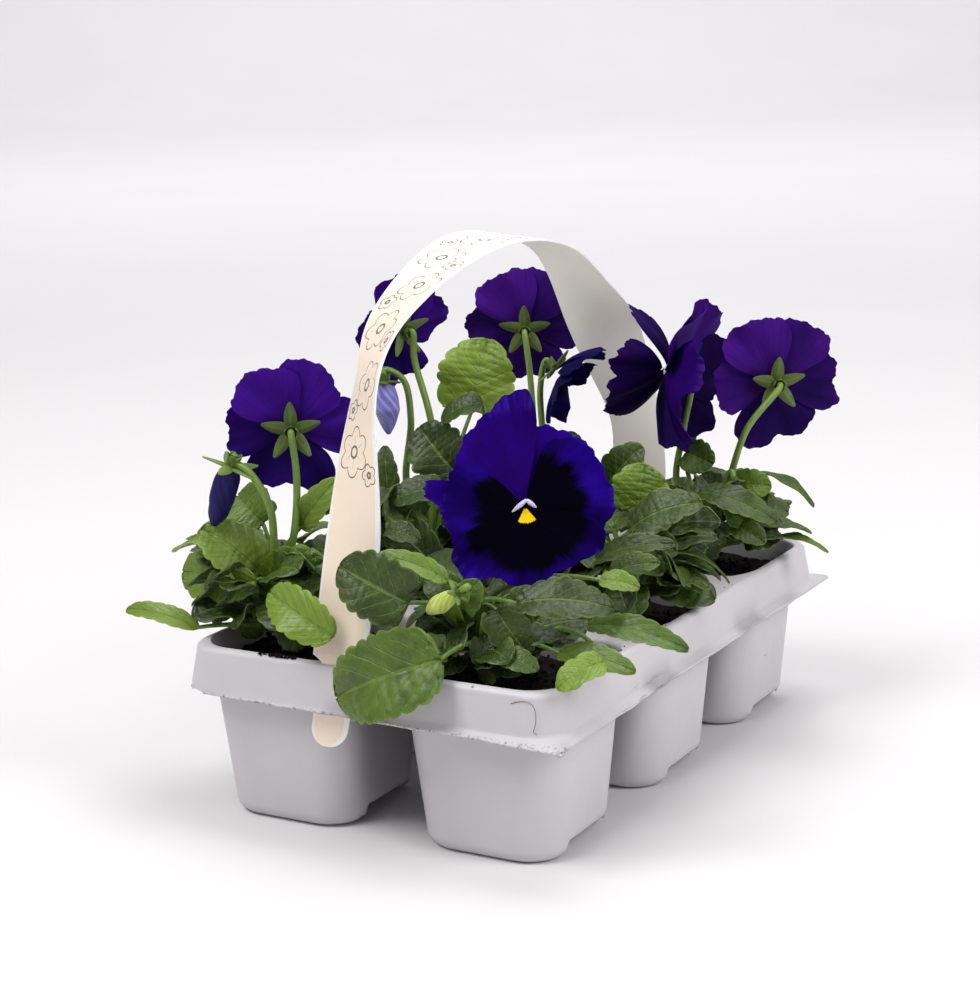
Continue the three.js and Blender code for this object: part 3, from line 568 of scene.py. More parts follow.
tray_plastic.bump(0.6 * cloud + 0.4 * scuff, 0.0004, 0.4)

tray = piece("tray_sheet", [pot_patch(cell) for cell in CELLS] + [skirt_patch()], [tray_plastic], 180.0)
weld = tray.modifiers.new("seams", "WELD")
weld.merge_threshold = 0.00002
wall = tray.modifiers.new("sheet", "SOLIDIFY")
wall.thickness = SHEET * 0.001
wall.offset = -1.0
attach(tray, "root")
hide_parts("tray")

# ---- Growing mix -------------------------------------------------------------------------------
# Dark peat pressed loosely into each pot and watered: an uneven top with open pores, and loose
# crumbs on it. Each plug ends out of sight, a little above the air channel under its pot.

# Mean height of the top, the height that its half sizes are taken at, and how far its edge falls
SOIL_Z = 66.0
SOIL_EDGE_Z = 60
EDGE_FALL = 1.8
# How far inside the pot's wall the top and the plug below it lie
TOP_GAP = 0.4
PLUG_GAP = 0.5
# Heights where the plug has a ring of points
PLUG_LEVELS = (SOIL_EDGE_Z, 48, 36, 24, 12)
# Crumbs on each plug, and how far they lie from its middle along x and y
CRUMBS = 230
CRUMB_HALF = 33.0


def lumps(x, y, grain, seed):
    """Smooth random hills: a lattice of random heights blended by a cubic step between nodes."""
    draw = np.random.default_rng(seed).random((64, 64))
    gx, gy = x / grain + 200.0, y / grain + 200.0
    ix, iy = np.floor(gx).astype(int), np.floor(gy).astype(int)
    fx, fy = gx - ix, gy - iy
    fx, fy = fx * fx * (3 - 2 * fx), fy * fy * (3 - 2 * fy)
    take = lambda a, b: draw[(ix + a) % 64, (iy + b) % 64]
    low = take(0, 0) * (1 - fx) + take(1, 0) * fx
    high = take(0, 1) * (1 - fx) + take(1, 1) * fx
    return (low * (1 - fy) + high * fy) * 2 - 1


def soil_top(x, y):
    """Height of the mix: the mean level, two long waves and three sizes of lumps."""
    top = SOIL_Z + 1.6 * np.sin(0.17 * x + 0.9) * np.cos(0.13 * y + 0.4 + 0.05 * x)
    for seed, (high, grain) in enumerate([(0.9, 6.0), (0.6, 2.6), (0.35, 1.2)], 1):
        top = top + high * lumps(x, y, grain, seed)
    return top


def closed_rings(points, inside_out=False, **more):
    """
    A patch of rings of points, joined to each other and capped at both ends. `inside_out` turns
    the faces over, for rings that run from the top down.
    """
    rows, around = points.shape[:2]
    way = -1 if inside_out else 1
    caps = [np.arange(around)[::-way], np.arange((rows - 1) * around, rows * around)[::way]]
    quads = rows_of_quads(rows, around, closed=True)[:, ::way]
    return {"points": points, "quads": quads, "caps": caps, **more}


def soil_patch(cell):
    """Rings from the middle of the top out to the pot's wall, then down inside it."""
    rings = []
    for share in np.concatenate([[0.01], np.linspace(0.04, 1, 30)]):
        ring = pot_ring(pot_half(SOIL_EDGE_Z) - TOP_GAP, POT_CORNER) * share + cell
        lift = soil_top(ring[:, 0], ring[:, 1]) - EDGE_FALL * max(0.0, share - 0.93) / 0.07
        rings.append(np.column_stack([ring, lift]))
    for z in PLUG_LEVELS:
        ring = pot_ring(pot_half(z) - PLUG_GAP, POT_CORNER) + cell
        rings.append(np.column_stack([ring, np.full(len(ring), float(z))]))
    return closed_rings(np.stack(rings), inside_out=True)


def crumb_patches(cell, count, seed):
    """Small uneven lumps: a ball of few sides, stretched and dented at random."""
    draw = np.random.default_rng(seed)
    around = np.arange(6) * np.pi / 3
    tilt = np.array([0.35, 0.9, 1.57, 2.24, 2.8])[:, None]
    ball = [np.sin(tilt) * np.cos(around), np.sin(tilt) * np.sin(around), np.cos(tilt) * np.ones(6)]
    ball = np.stack(ball, -1)
    made = []
    for _ in range(count):
        x, y = draw.uniform(-1, 1, 2) * CRUMB_HALF
        size = draw.uniform(0.5, 1.7) * draw.uniform(0.6, 1.0, 3)
        lump = ball * size * (1 + 0.22 * draw.standard_normal((5, 6, 1)))
        middle = np.array([x + cell[0], y + cell[1], 0.0])
        middle[2] = soil_top(middle[:1], middle[1:2])[0] + 0.25 * size[2]
        made.append(closed_rings(lump + middle, inside_out=True))
    return made


growing_mix = Finish("growing_mix", roughness=0.95, specular_ior_level=0.15)
soil_place = growing_mix.place()
fine = growing_mix.noise(soil_place, 900.0, 6.0, 0.7)
patchy = growing_mix.noise(soil_place, 140.0, 3.0)
earth = growing_mix.mix(fine.between(0.4, 0.75), (0.003, 0.0023, 0.002), (0.022, 0.015, 0.012))
earth = growing_mix.mix(patchy.between(0.45, 0.75) * 0.6, earth, (0.008, 0.005, 0.004))
growing_mix.set(base_color=earth)
growing_mix.bump(fine, 0.0014, 0.9)

PLACES = ["front_left", "front_right", "middle_left", "middle_right", "back_left", "back_right"]
for number, (name, cell) in enumerate(zip(PLACES, CELLS)):
    patches = [soil_patch(np.array(cell))] + crumb_patches(cell, CRUMBS, 40 + number)
    soil = piece(f"mix_{name}", patches, [growing_mix], 60.0)
    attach(soil, "root")
    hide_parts(f"soil_{name}")

# ---- Carry strip -------------------------------------------------------------------------------
# One strip of stiff printed film, arched over the tray by hand. Its narrow tongues are pushed
# through two slots in the deck, and its shoulders stop on it. Outside it is cream with white
# margins and small line flowers, inside it is bare.

STRIP_THICK = 0.7
SLOT_Y = 132.0
# The middle line of the arch from near to far: x, y, z, twist in degrees, width
STRIP_ARCH = np.array([
    (-10.5, -SLOT_Y, 79, 0, 25),
    (-10.5, -119, 122, -7, 28),
    (-13, -101, 183, -40, 31),
    (-12.5, -72, 214, -17, 31.5),
    (-10.5, -14, 232.5, 3, 34),
    (-9, 41, 226.5, 5, 32),
    (-9, 82, 203, 7, 35),
    (-1, 119, 140, -60, 28),
    (-3.5, SLOT_Y, 79, 0, 25),
], float)
# A tongue: the height of its tip, how far its round end reaches, its width, the height where it
# starts to narrow for its slot and by how much, and how far the near one leans for each mm
TONGUE_TIP, TONGUE_ROUND, TONGUE_WIDE = 40, 8.7, 17.5
NECK_Z, NECK_IN = 69.5, 1.5
TONGUE_LEAN = 0.2


def even_spline(knots, t):
    """Catmull-Rom through evenly numbered knots: values and slopes, ends carried straight on."""
    held = np.vstack([2 * knots[0] - knots[1], knots, 2 * knots[-1] - knots[-2]])
    span = len(knots) - 1
    k = np.minimum((t * span).astype(int), span - 1)
    f = (t * span - k)[:, None]
    a, b, c, d = held[k], held[k + 1], held[k + 2], held[k + 3]
    one, two, three = c - a, 2 * a - 5 * b + 4 * c - d, 3 * b - a - 3 * c + d
    value = 0.5 * (2 * b + one * f + two * f**2 + three * f**3)
    slope = 0.5 * (one + 2 * two * f + 3 * three * f**2)
    return value, slope


def turned(vector, axis, angle):
    """Rodrigues' turn of each vector about its unit axis."""
    cos, sin = np.cos(angle)[:, None], np.sin(angle)[:, None]
    along = np.sum(vector * axis, axis=1, keepdims=True)
    return vector * cos + np.cross(axis, vector) * sin + axis * along * (1 - cos)


def strip_rows():
    """Centre, side direction and width along the strip, from the tip of one tongue to the other."""
    knots, slope = even_spline(STRIP_ARCH, np.linspace(0, 1, 260))
    ahead = slope[:, :3] / np.linalg.norm(slope[:, :3], axis=1, keepdims=True)
    side = np.array([1.0, 0, 0]) - ahead * ahead[:, :1]
    side /= np.linalg.norm(side, axis=1, keepdims=True)
    side = turned(side, ahead, np.radians(knots[:, 3]))
    down = np.concatenate([
        TONGUE_TIP + TONGUE_ROUND * (1 - np.cos(np.linspace(0.1, 1, 16) * np.pi / 2)),
        np.linspace(50, 69, 8), np.linspace(NECK_Z, 72.5, 5), np.linspace(73, 76.3, 4),
    ])
    tip = np.clip((TONGUE_TIP + TONGUE_ROUND - down) / TONGUE_ROUND, 0, 1)
    wide = TONGUE_WIDE * (1 - tip**2) ** 0.5
    neck = TONGUE_WIDE - NECK_IN * np.clip((down - NECK_Z) / 3, 0, 1)
    wide = np.where(down >= NECK_Z, neck, wide)
    first, last = STRIP_ARCH[0], STRIP_ARCH[-1]
    level = np.ones(len(down))
    leaning = first[0] + TONGUE_LEAN * (down - first[2])
    near = np.column_stack([leaning, first[1] * level, down])
    far = np.column_stack([last[0] * level, last[1] * level, down])
    flat = np.tile([1.0, 0, 0], (len(down), 1))
    centre = np.vstack([near, knots[:, :3], far[::-1]])
    width = np.concatenate([wide, knots[:, 4], wide[::-1]])
    return centre, np.vstack([flat, side, flat]), width


def laid_out(origin, *ways):
    """A grid of points: the origin, plus each direction times its own grid of lengths."""
    for direction, lengths in ways:
        origin = origin + direction * lengths[..., None]
    return origin


def slab(grid, thickness, uv, marks, looks=(0, 1)):
    """
    A closed sheet about a grid of points: both faces stand half a thickness off it along its
    normal (the cross product of its two grid directions), and strips join them round the rim.
    `looks` are the finish numbers of its upper and lower face.
    """
    rows, across = grid.shape[:2]
    normal = np.cross(np.gradient(grid, axis=1), np.gradient(grid, axis=0))
    normal /= np.maximum(np.linalg.norm(normal, axis=2, keepdims=True), 1e-9)
    lift = normal * thickness / 2
    face = rows_of_quads(rows, across)
    count = rows * across
    rim = np.concatenate([
        np.arange(across), np.arange(2, rows + 1) * across - 1,
        (rows - 1) * across + np.arange(across - 2, -1, -1), np.arange(rows - 2, 0, -1) * across,
    ])
    after = np.roll(rim, -1)
    band = np.stack([after, rim, rim + count, after + count], -1)
    uv = uv.reshape(-1, 2)
    both = {key: np.tile(np.ravel(mark), 2 if np.ndim(mark) else 1) for key, mark in marks.items()}
    return {
        "points": np.concatenate([(grid + lift).reshape(-1, 3), (grid - lift).reshape(-1, 3)]),
        "quads": np.concatenate([face, face[:, ::-1] + count, band]),
        "look": np.repeat([looks[0], looks[1], looks[0]], [len(face), len(face), len(band)]),
        "uv": np.concatenate([uv, uv]),
        "marks": both,
    }


centre, side, width = strip_rows()
length = np.concatenate([[0], np.cumsum(np.linalg.norm(np.diff(centre, axis=0), axis=1))])
width, across = width[:, None], np.linspace(-1, 1, 13)
strip_grid = laid_out(centre[:, None], (side[:, None], across * width / 2))
strip_uv = np.stack(np.broadcast_arrays(across * width / 2, length[:, None]), -1)
strip_marks = {"from_left": (1 + across) * width / 2, "from_right": (1 - across) * width / 2}

film = Finish("strip_film", roughness=0.38, specular_ior_level=0.45)
film.glow(0.25, (1.0, 0.95, 0.88), 0.004)
film_map = film.own_map()
film_x, film_s = film_map.part("X"), film_map.part("Y")
# The cream starts about 1 mm from the left edge and 2.3 mm from the right one
inside_margin = film.attribute("from_left").between(0.9, 1.15)
inside_margin = inside_margin * film.attribute("from_right").between(2.2, 2.5)


def line_flower(x, s, middle_x, middle_s, size, petals, turn_by):
    """
    A line drawing: a lobed outline where the distance from the middle is size times (0.7 plus
    0.3 times the absolute cosine of half the angle times the number of petals), with a small
    ring and short spokes inside it.
    """
    dx, ds = x - middle_x, s - middle_s
    reach = (dx * dx + ds * ds) ** 0.5
    angle = dx.math("ARCTAN2", ds) + turn_by
    wave = abs((angle * (petals / 2)).math("COSINE"))
    lobe = abs(reach - size * (0.70 + 0.30 * wave))
    ring = abs(reach - size * 0.22)
    vein = abs((angle * (petals / 2)).math("SINE")) * reach
    inside = reach.band(size * 0.22, size * 0.24, size * 0.64, size * 0.66)
    drawn = (1 - lobe.between(0.18, 0.42)).math("MAXIMUM", 1 - ring.between(0.4, 0.6))
    return drawn.math("MAXIMUM", (1 - vein.between(0.14, 0.34)) * inside * 0.8)


# A large flower and a small one to each STEP of the strip, on alternate sides. The print starts
# past the bare near leg and stops short of the far tongue's tip. All in mm along the strip
STEP = 27.0
PRINT_FROM = 108.0
PRINT_TO = float(length[-1]) - 60
beat = (film_s / STEP).math("FLOOR")
local = film_s - beat * STEP
odd = beat.math("MODULO", 2.0)
drawn = line_flower(film_x, local, (odd * 2 - 1) * 2.6, 14.5, 10.4, 6.0, beat * 1.3)
small = line_flower(film_x, local, (1 - odd * 2) * 9.0, 5.2, 4.6, 5.0, beat * 0.7)
drawn = drawn.math("MAXIMUM", small)
printed = film_s.band(PRINT_FROM, PRINT_FROM + 0.5, PRINT_TO, PRINT_TO + 1)
grain = film.noise(film.place(), 260.0, 3.0)
cream = film.mix(grain, (0.90, 0.735, 0.58), (0.93, 0.775, 0.62))
# From 150 to 300 mm along the strip the cream turns paler, and stays so to the far end: painted light
# over the crest
cream = film.mix(film_s.between(150.0, 300.0), cream, (0.87, 0.83, 0.75))
field = film.mix(inside_margin, (0.88, 0.875, 0.86), cream)
film.set(base_color=film.mix(drawn * printed * 0.9, field, (0.05, 0.05, 0.055)))
film.bump(grain, 0.0001, 0.3)

bare_film = Finish("strip_film_inside", roughness=0.45, specular_ior_level=0.4)
bare_film.glow(0.5, (1.0, 0.95, 0.88), 0.004)
bare_grain = bare_film.noise(bare_film.place(), 120.0, 4.0)
bare_film.set(base_color=bare_film.mix(bare_grain, (0.87, 0.81, 0.73), (0.92, 0.86, 0.78)))
bare_film.bump(bare_grain, 0.0001, 0.3)

strip_sheet = slab(strip_grid, STRIP_THICK, strip_uv, strip_marks)
strip = piece("strip_arch", [strip_sheet], [film, bare_film], 60.0)
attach(strip, "root")
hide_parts("carry_strip")

# ---- Plants ------------------------------------------------------------------------------------
# Six young pansies, one to a pot. Broad leaves with rounded teeth stand on long stalks round a
# short main stem, and pale ribbed flower stems rise above them and end in five green sepals.

# Where each stem stands, the head that its leaves spread from, and how far above the head the
# small leaves reach
PLANTS = {
    "front_left": ((-60, -96), (-72, -94, 92), 12),
    "front_right": ((38, -98), (34, -103, 96), 6),
    "middle_left": ((-46, -4), (-42, -6, 92), 20),
    "middle_right": ((48, -4), (54, -6, 88), 20),
    "back_left": ((-46, 92), (-42, 92, 90), 20),
    "back_right": ((52, 88), (58, 80, 88), 20),
}
# Directions that leaves and flowers face
UP, FRONT, SLANT = (0, 0, 1), (0.3, -0.9, 0.25), (0.1, -0.65, 0.75)

# Leaves: base, tip, width, the way the upper face looks, and how light the green is, 0 to 1
LEAVES = {
    "front_left": [
        ((-76, -88, 118), (-92, -85, 129), 24, FRONT, 0.9),
        ((-72, -98, 99), (-90, -112, 121), 24, SLANT, 1.0),
        ((-84, -90, 103), (-121, -92, 107), 24, UP, 0.9),
        ((-79, -96, 95), (-111, -103, 97), 24, FRONT, 0.9),
        ((-84, -80, 104), (-128, -72, 107), 20, UP, 0.5),
        ((-67, -108, 99), (-92, -113, 93), 14, FRONT, 0.7),
        ((-58, -86, 118), (-39, -88, 140), 12, FRONT, 1.0),
        ((-62, -80, 109), (-47, -76, 119), 16, UP, 0.8),
        ((-66, -97, 93), (-38, -102, 108), 26, FRONT, 0.7),
        ((-10.5, -135.4, 88.5), (-46, -131, 103), 19, (0.1, -0.9, 0.4), 0.95),
        ((-76, -104, 86), (-89, -112, 80), 10, SLANT, 0.5),
        ((-74, -104, 84), (-72, -106, 72), 12, FRONT, 0.4),
        ((-54, -104, 82), (-47, -109, 71), 13, FRONT, 0.4),
        ((-89, -121, 79), (-123, -127, 87), 9, SLANT, 1.0),
    ],
    "front_right": [
        ((21, -128, 104), (-5, -138, 119), 26, FRONT, 0.3),
        ((33, -118, 112), (8, -129, 124), 9, SLANT, 0.9),
        ((39.6, -135.6, 85.6), (-8, -144, 66), 33, (0.2, -0.9, 0.35), 0.55),
        ((33, -121, 84), (19, -130, 84), 14, SLANT, 0.4),
        ((47, -114, 89), (48, -118, 78), 11, FRONT, 0.2),
        ((55, -118, 84), (73, -120, 82), 10, SLANT, 0.4),
        ((64, -118, 106), (99, -105, 107), 18, SLANT, 0.2),
        ((81, -80, 108), (97, -78, 107), 9, SLANT, 0.8),
        ((84, -97, 94), (127, -100, 93), 11, SLANT, 0.6),
        ((79, -112, 86), (113, -118, 87), 11, SLANT, 0.6),
        ((101, -118, 87), (88, -132, 80), 13, SLANT, 1.0),
        ((50, -110, 100), (65, -112, 84), 17, FRONT, 0.3),
        ((37, -113, 100), (44, -114, 112), 12, FRONT, 0.7),
        ((31, -104, 95), (14, -102, 112), 14, FRONT, 0.35),
        ((37, -106, 90), (27, -110, 112), 14, FRONT, 0.45),
        ((32, -106, 84), (9, -100, 93), 19, SLANT, 0.2),
        ((40, -98, 85), (20, -86, 94), 19, SLANT, 0.1),
        ((38, -100, 90), (12, -90, 101), 19, SLANT, 0.2),
        ((52, -104, 90), (61, -102, 108), 15, FRONT, 0.25),
        ((58, -104, 88), (84, -97, 98), 17, SLANT, 0.2),
        ((57, -102, 84), (78, -88, 91), 17, SLANT, 0.1),
        ((47, -110, 82), (62, -124, 86), 15, SLANT, 0.3),
    ],
    "middle_left": [
        ((-29, 12, 153), (-22, 14, 185), 34, FRONT, 0.9),
        ((-12, -8, 161), (-31, -14, 154), 12, SLANT, 0.3),
        ((-26, -10, 129), (-42, -14, 149), 26, FRONT, 0.2),
        ((-22, -28, 125), (-42, -40, 122), 15, SLANT, 0.2),
        ((-56, -16, 105), (-59, -17, 139), 12, FRONT, 0.4),
        ((-28, -30, 93), (-44, -40, 114), 20, FRONT, 0.2),
        ((-34, -56, 112), (-18, -56, 110), 10, SLANT, 0.3),
    ],
    "middle_right": [
        ((34, 20, 122), (50, 22, 140), 17, FRONT, 0.4),
        ((53, 12, 113), (56, 14, 134), 25, FRONT, 0.8),
        ((61, -12, 111), (91, -8, 127), 20, SLANT, 0.3),
        ((52, -30, 100), (88, -30, 114), 11, SLANT, 0.3),
        ((66, -42, 99), (87, -40, 107), 12, SLANT, 0.5),
        ((78, -5, 101), (99, 10, 89), 8, UP, 0.4),
    ],
    "back_left": [
        ((-20, 68, 124), (-5, 70, 131), 12, SLANT, 0.3),
    ],
    "back_right": [
        ((42, 88, 124), (56, 86, 120), 16, FRONT, 0.6),
        ((66, 75, 103), (55, 75, 117), 17, FRONT, 0.2),
        ((71, 80, 113), (88, 78, 114), 14, FRONT, 0.7),
        ((75, 95, 115), (103, 98, 104), 10, UP, 0.5),
        ((60, 62, 112), (99, 60, 104), 13, SLANT, 0.3),
        ((72, 72, 95), (90, 66, 91), 12, SLANT, 0.4),
        ((80, 92, 84), (109, 98, 83), 9, UP, 0.6),
        ((60, 68, 90), (63, 62, 79), 15, FRONT, 0.1),
        ((62, 119, 93), (64, 149, 87), 22, UP, 0.4),
    ],
}

# Plain leaves on the sides that no listed leaf covers: from and to angle, count, reach, low
# and high level, width, seed
FANS = {
    "front_left": (60, 150, 2, 36, 90, 104, 19, 1),
    "front_right": (20, 70, 1, 30, 90, 100, 16, 2),
    "middle_left": (95, 250, 5, 44, 89, 112, 21, 3),
    "middle_right": (-10, 60, 3, 38, 87, 100, 18, 4),
    "back_left": (75, 250, 7, 42, 89, 112, 21, 5),
    "back_right": (20, 150, 4, 40, 88, 108, 19, 6),
}

# Flowers: heart, the way they look, upright, the points of the stem, sepals' length, spread
# and breadth
VIEWER = (0.46, -0.85, 0.26)
FLOWERS = {
    "a": ("front_right", (50, -84, 136), VIEWER, UP, [(46, -78, 112), (50, -76, 130)], 13, 1, 0.2),
    "b": ("front_left", (-60, -87, 160), (-0.55, 0.82, 0.05), UP,
          [(-58, -92, 115), (-57, -89, 140)], 13, 1, 0.2),
    "c": ("front_left", (-76, -109, 147), (-0.38, 0, -0.92), FRONT,
          [(-60, -104, 126), (-61, -107, 136), (-67, -109, 146), (-74, -109, 150)], 15, 0.85, 0.14),
    "k": ("front_right", (42, -127, 110), (-0.83, 0, -0.55), UP, [(41, -118, 108)], 7, 0.8, 0.16),
    "d": ("middle_left", (-57, 0, 190), (-0.95, 0.2, 0.1), UP,
          [(-42, -2, 145), (-51, -1, 178)], 13, 1, 0.18),
    "e": ("middle_left", (-58, -15, 168), (0.1, -0.1, -1), FRONT,
          [(-55, -5, 120), (-52, -4, 150), (-53, -8, 169)], 10, 0.8, 0.2),
    "f": ("back_left", (-52, 105, 175), (-0.45, 0.87, 0.15), UP,
          [(-43, 95, 125), (-46, 98, 155)], 13, 1, 0.2),
    "g": ("back_left", (-20, 76, 162), (0.75, 0.1, -0.65), UP,
          [(-30, 80, 120), (-29, 77, 152)], 13, 0.85, 0.15),
    "h": ("back_right", (41, 84, 162), (-0.93, 0.1, 0.2), UP,
          [(38, 86, 108), (42, 85, 135)], 12, 1, 0.18),
    "i": ("back_right", (84, 96, 158), (-0.65, 0.75, 0.05), UP,
          [(68, 80, 117), (77, 79, 140)], 13, 1, 0.21),
    "j": ("back_right", (74, 71, 115), (0.4, -0.3, -0.85), UP, [(67, 75, 113)], 6, 0.8, 0.16),
}
# How far the sepals and the last bend of the stem lie behind the heart
CALYX_BACK = 0.7
NECK = 6.0
# Side veins to a leaf's half, and mm of the blade to each tooth
VEINS = 5.5
TOOTH = 5.5
LEAF_THICK = 0.45
SEPAL_THICK, LOBE_THICK = 0.5, 0.6
# Points along and across a blade, and how stout its stalk is
BIG_LEAF, SMALL_LEAF, STIPULE = (80, 15, 1.0), (40, 9, 0.75), (16, 5, 0.5)
SMALL_LEAVES = 42
GOLDEN_TURN = 137.5


def leaf_blade(base, tip, width, face, tone, seed, rows, columns):
    """
    A blade on a grid of u along and v across. Its outline is a superellipse, drawn in towards
    the tip and cut by rounded teeth; broad leaves run back in two lobes beside the stalk. It is
    folded up from the midrib, arched and drooping along u, and puffed up between side veins,
    which lie where VEINS times (u minus 0.4 |v|) is a whole number.
    """
    base, tip = np.array(base, float), np.array(tip, float)
    along = unit(tip - base)
    length = np.linalg.norm(tip - base)
    side = unit(np.cross(along, face))
    normal = np.cross(side, along)
    draw = np.random.default_rng(seed)
    even = np.linspace(0, 1, rows)
    u = (0.6 * even + 0.4 * (0.5 - 0.5 * np.cos(even * np.pi)))[:, None] * 0.998
    v = np.sin(np.linspace(-1, 1, columns) * np.pi / 2)[None, :]
    teeth = max(4, round(length / TOOTH))
    smooth = (1 - np.abs(2 * np.maximum(u, 0.002) ** 0.85 - 1) ** 2.3) ** 0.5
    skew = draw.uniform(-0.3, 0.3)
    notch = 1 - np.abs(np.sin(np.pi * (teeth * u + skew * np.sign(v)))) ** 0.55
    depth = min(2.0, 0.075 * width) * np.clip(9 * u, 0, 1) * np.clip(9 * (1 - u), 0, 1)
    half = 0.5 * width * smooth * 1.06 - notch * depth * np.abs(v) ** 3
    half = np.maximum(half, 0.25)
    lobe = 0.15 * width * np.clip((width / length - 0.45) / 0.3, 0, 1)
    back = lobe * np.abs(v) * np.sin(np.pi * np.minimum(1, u / 0.32))
    lift = length * (0.1 * 4 * u * (1 - u) - 0.12 * u * u)
    fold = 0.18 * half * (1 + 0.5 * np.sign(v) * np.sin(9 * u)) * np.abs(v) ** 1.5
    puff = np.abs(np.sin(np.pi * VEINS * (u - 0.4 * np.abs(v)))) ** 0.8
    puff = 0.055 * width * puff * np.minimum(1, 4 * np.abs(v)) * (1 - v**6)
    wave = 0.03 * width * np.sin(draw.uniform(0, 6) + 12 * u + 2 * np.sign(v)) * np.abs(v) ** 3
    curl = 0.03 * width * draw.uniform(-1.5, 1.5) * v * v * np.sin(np.pi * u)
    height = lift + fold + puff + wave + curl
    grid = laid_out(base, (along, length * u - back), (side, v * half), (normal, height))
    uv = np.stack(np.broadcast_arrays(v, u), -1)
    return slab(grid, LEAF_THICK, uv, {"tone": tone, "age": draw.random()})


def tube_patch(line, radius, sides, look, ribs=0.0, tone=0.5):
    """
    A stem round a line of points. Its rings are square to the line, and start in the direction
    square to it and to one fixed direction, so that they don't twist. Its radius swells in four
    ribs by the cosine of four times the angle.
    """
    ahead = np.gradient(line, axis=0)
    ahead /= np.linalg.norm(ahead, axis=1, keepdims=True)
    aside = np.cross(ahead, [0.31, -0.42, 0.17])
    aside /= np.linalg.norm(aside, axis=1, keepdims=True)
    third = np.cross(ahead, aside)
    angle = np.arange(sides) * 2 * np.pi / sides
    swell = (radius * np.ones(len(line)))[:, None] * (1 + ribs * np.cos(4 * angle))
    up, over = swell * np.cos(angle), swell * np.sin(angle)
    points = laid_out(line[:, None], (aside[:, None], up), (third[:, None], over))
    return closed_rings(points, look=look, marks={"tone": tone, "age": 0.5})


def leaf_stalk(base, tip, start):
    """The stalk's line: a quadratic curve that leaves the stem upwards and meets the midrib."""
    base, along = np.array(base, float), unit(np.subtract(tip, base))
    reach = np.linalg.norm(base - start)
    under, over = base - along * 0.45 * reach, start + np.array([0, 0, 0.5 * reach])
    bend = under * 0.55 + over * 0.45
    t = np.linspace(0, 1, 14)[:, None]
    return (1 - t) ** 2 * start + 2 * t * (1 - t) * bend + t * t * (base + along * 0.6)


def slack_spline(knots, steps):
    """Centripetal Catmull-Rom: knots are spaced by the root of their distance, by Barry's rule."""
    knots = np.array(knots, float)
    held = np.vstack([2 * knots[0] - knots[1], knots, 2 * knots[-1] - knots[-2]])
    made = []
    for k in range(len(knots) - 1):
        p = held[k:k + 4]
        t = np.concatenate([[0], np.cumsum(np.linalg.norm(np.diff(p, axis=0), axis=1) ** 0.5)])
        x = np.linspace(t[1], t[2], steps, endpoint=k == len(knots) - 2)[:, None]
        blend = lambda a, b, low, high: ((high - x) * a + (x - low) * b) / (high - low)
        one, two, three = (blend(p[i], p[i + 1], t[i], t[i + 1]) for i in range(3))
        made.append(blend(blend(one, two, t[0], t[2]), blend(two, three, t[1], t[3]), t[1], t[2]))
    return np.vstack(made)


def flower_axes(face, upright):
    """A flower's right, its upright as near as it can be, and the way it looks."""
    z = unit(face)
    x = unit(np.cross(upright, z))
    return x, np.cross(z, x), z


def sepals(heart, face, upright, length, spread, breadth):
    """
    Five sepals. Each runs out from behind the heart and bends back by a quarter of its length;
    its half width is a power of a sine, it is arched across, and it has a short square lobe
    behind the seat.
    """
    x, y, z = flower_axes(face, upright)
    heart = np.array(heart, float)
    u = np.linspace(0, 1, 18)[:, None]
    v = np.linspace(-1, 1, 7)[None, :]
    uv = np.stack(np.broadcast_arrays(v, u), -1)
    made = []
    for number in range(5):
        angle = np.pi / 2 + number * 2 * np.pi / 5
        out = x * np.cos(angle) + y * np.sin(angle)
        beside = np.cross(out, z)
        reach = length * (1.05 * u - 0.05)
        half = breadth * length * np.sin(np.pi * (0.12 + 0.86 * u ** 0.9)) ** 0.75 + 0.12
        twist = 0.5 * np.sin(3 * number + 2 * u) * v * half * 0.5
        rise = -CALYX_BACK - 0.25 * reach + (1 - spread) * 1.5 * reach - 1.4 * u * (1 - u)
        rise = rise + 0.35 * v * v * half + twist
        grid = laid_out(heart, (out, spread * reach), (beside, v * half), (z, rise))
        made.append(slab(grid, SEPAL_THICK, uv, {"tone": breadth * 2.5, "age": 0.5}, (3, 3)))
        back = length * 0.34 * u
        half = 0.15 * length * (1 - 0.25 * u) * (1 - u**6 * 0.7)
        away = 1.5 + 0.35 * back - 0.3 * v * v * half
        lobe = laid_out(heart, (out, away), (beside, v * half), (z, -1.1 - back))
        made.append(slab(lobe, LOBE_THICK, uv, {"tone": breadth * 2.5 + 0.1, "age": 0.5}, (3, 3)))
    return made


def outward(angle):
    """The level direction at an angle from the x axis."""
    return np.array([np.cos(angle), np.sin(angle), 0.0])


def fan_leaves(head, from_angle, to_angle, count, reach, low, high, width, seed):
    """
    Leaves spread between two angles, at three levels in turn. Reach, droop and tilt vary by the
    fraction of a large sine of the leaf's number, and both ends lie on whole millimetres.
    """
    made = []
    for i in range(count):
        noise = lambda k: (np.sin(12.9898 * (i + 1) + 78.233 * (k + seed)) * 43758.5453) % 1.0
        angle = np.radians(from_angle + (to_angle - from_angle) * (i + 0.3 + 0.4 * noise(1)) / count)
        out = outward(angle)
        level = low + (high - low) * (i % 3) / 2
        start, length = reach * (0.4 + 0.2 * noise(2)), reach * (0.5 + 0.25 * noise(3))
        drop = 8 * (noise(4) - 0.6)
        middle = head * (1, 1, 0)
        base = np.floor(middle + out * start + (0, 0, level) + 0.5)
        tip = np.floor(middle + out * (start + length) + (0, 0, level + drop) + 0.5)
        face = (0.5 * out[0] * (noise(5) - 0.2), 0.5 * out[1] * (noise(6) - 0.2), 1)
        made.append((tuple(base), tuple(tip), width, face, 0.25 + 0.4 * noise(7)))
    return made


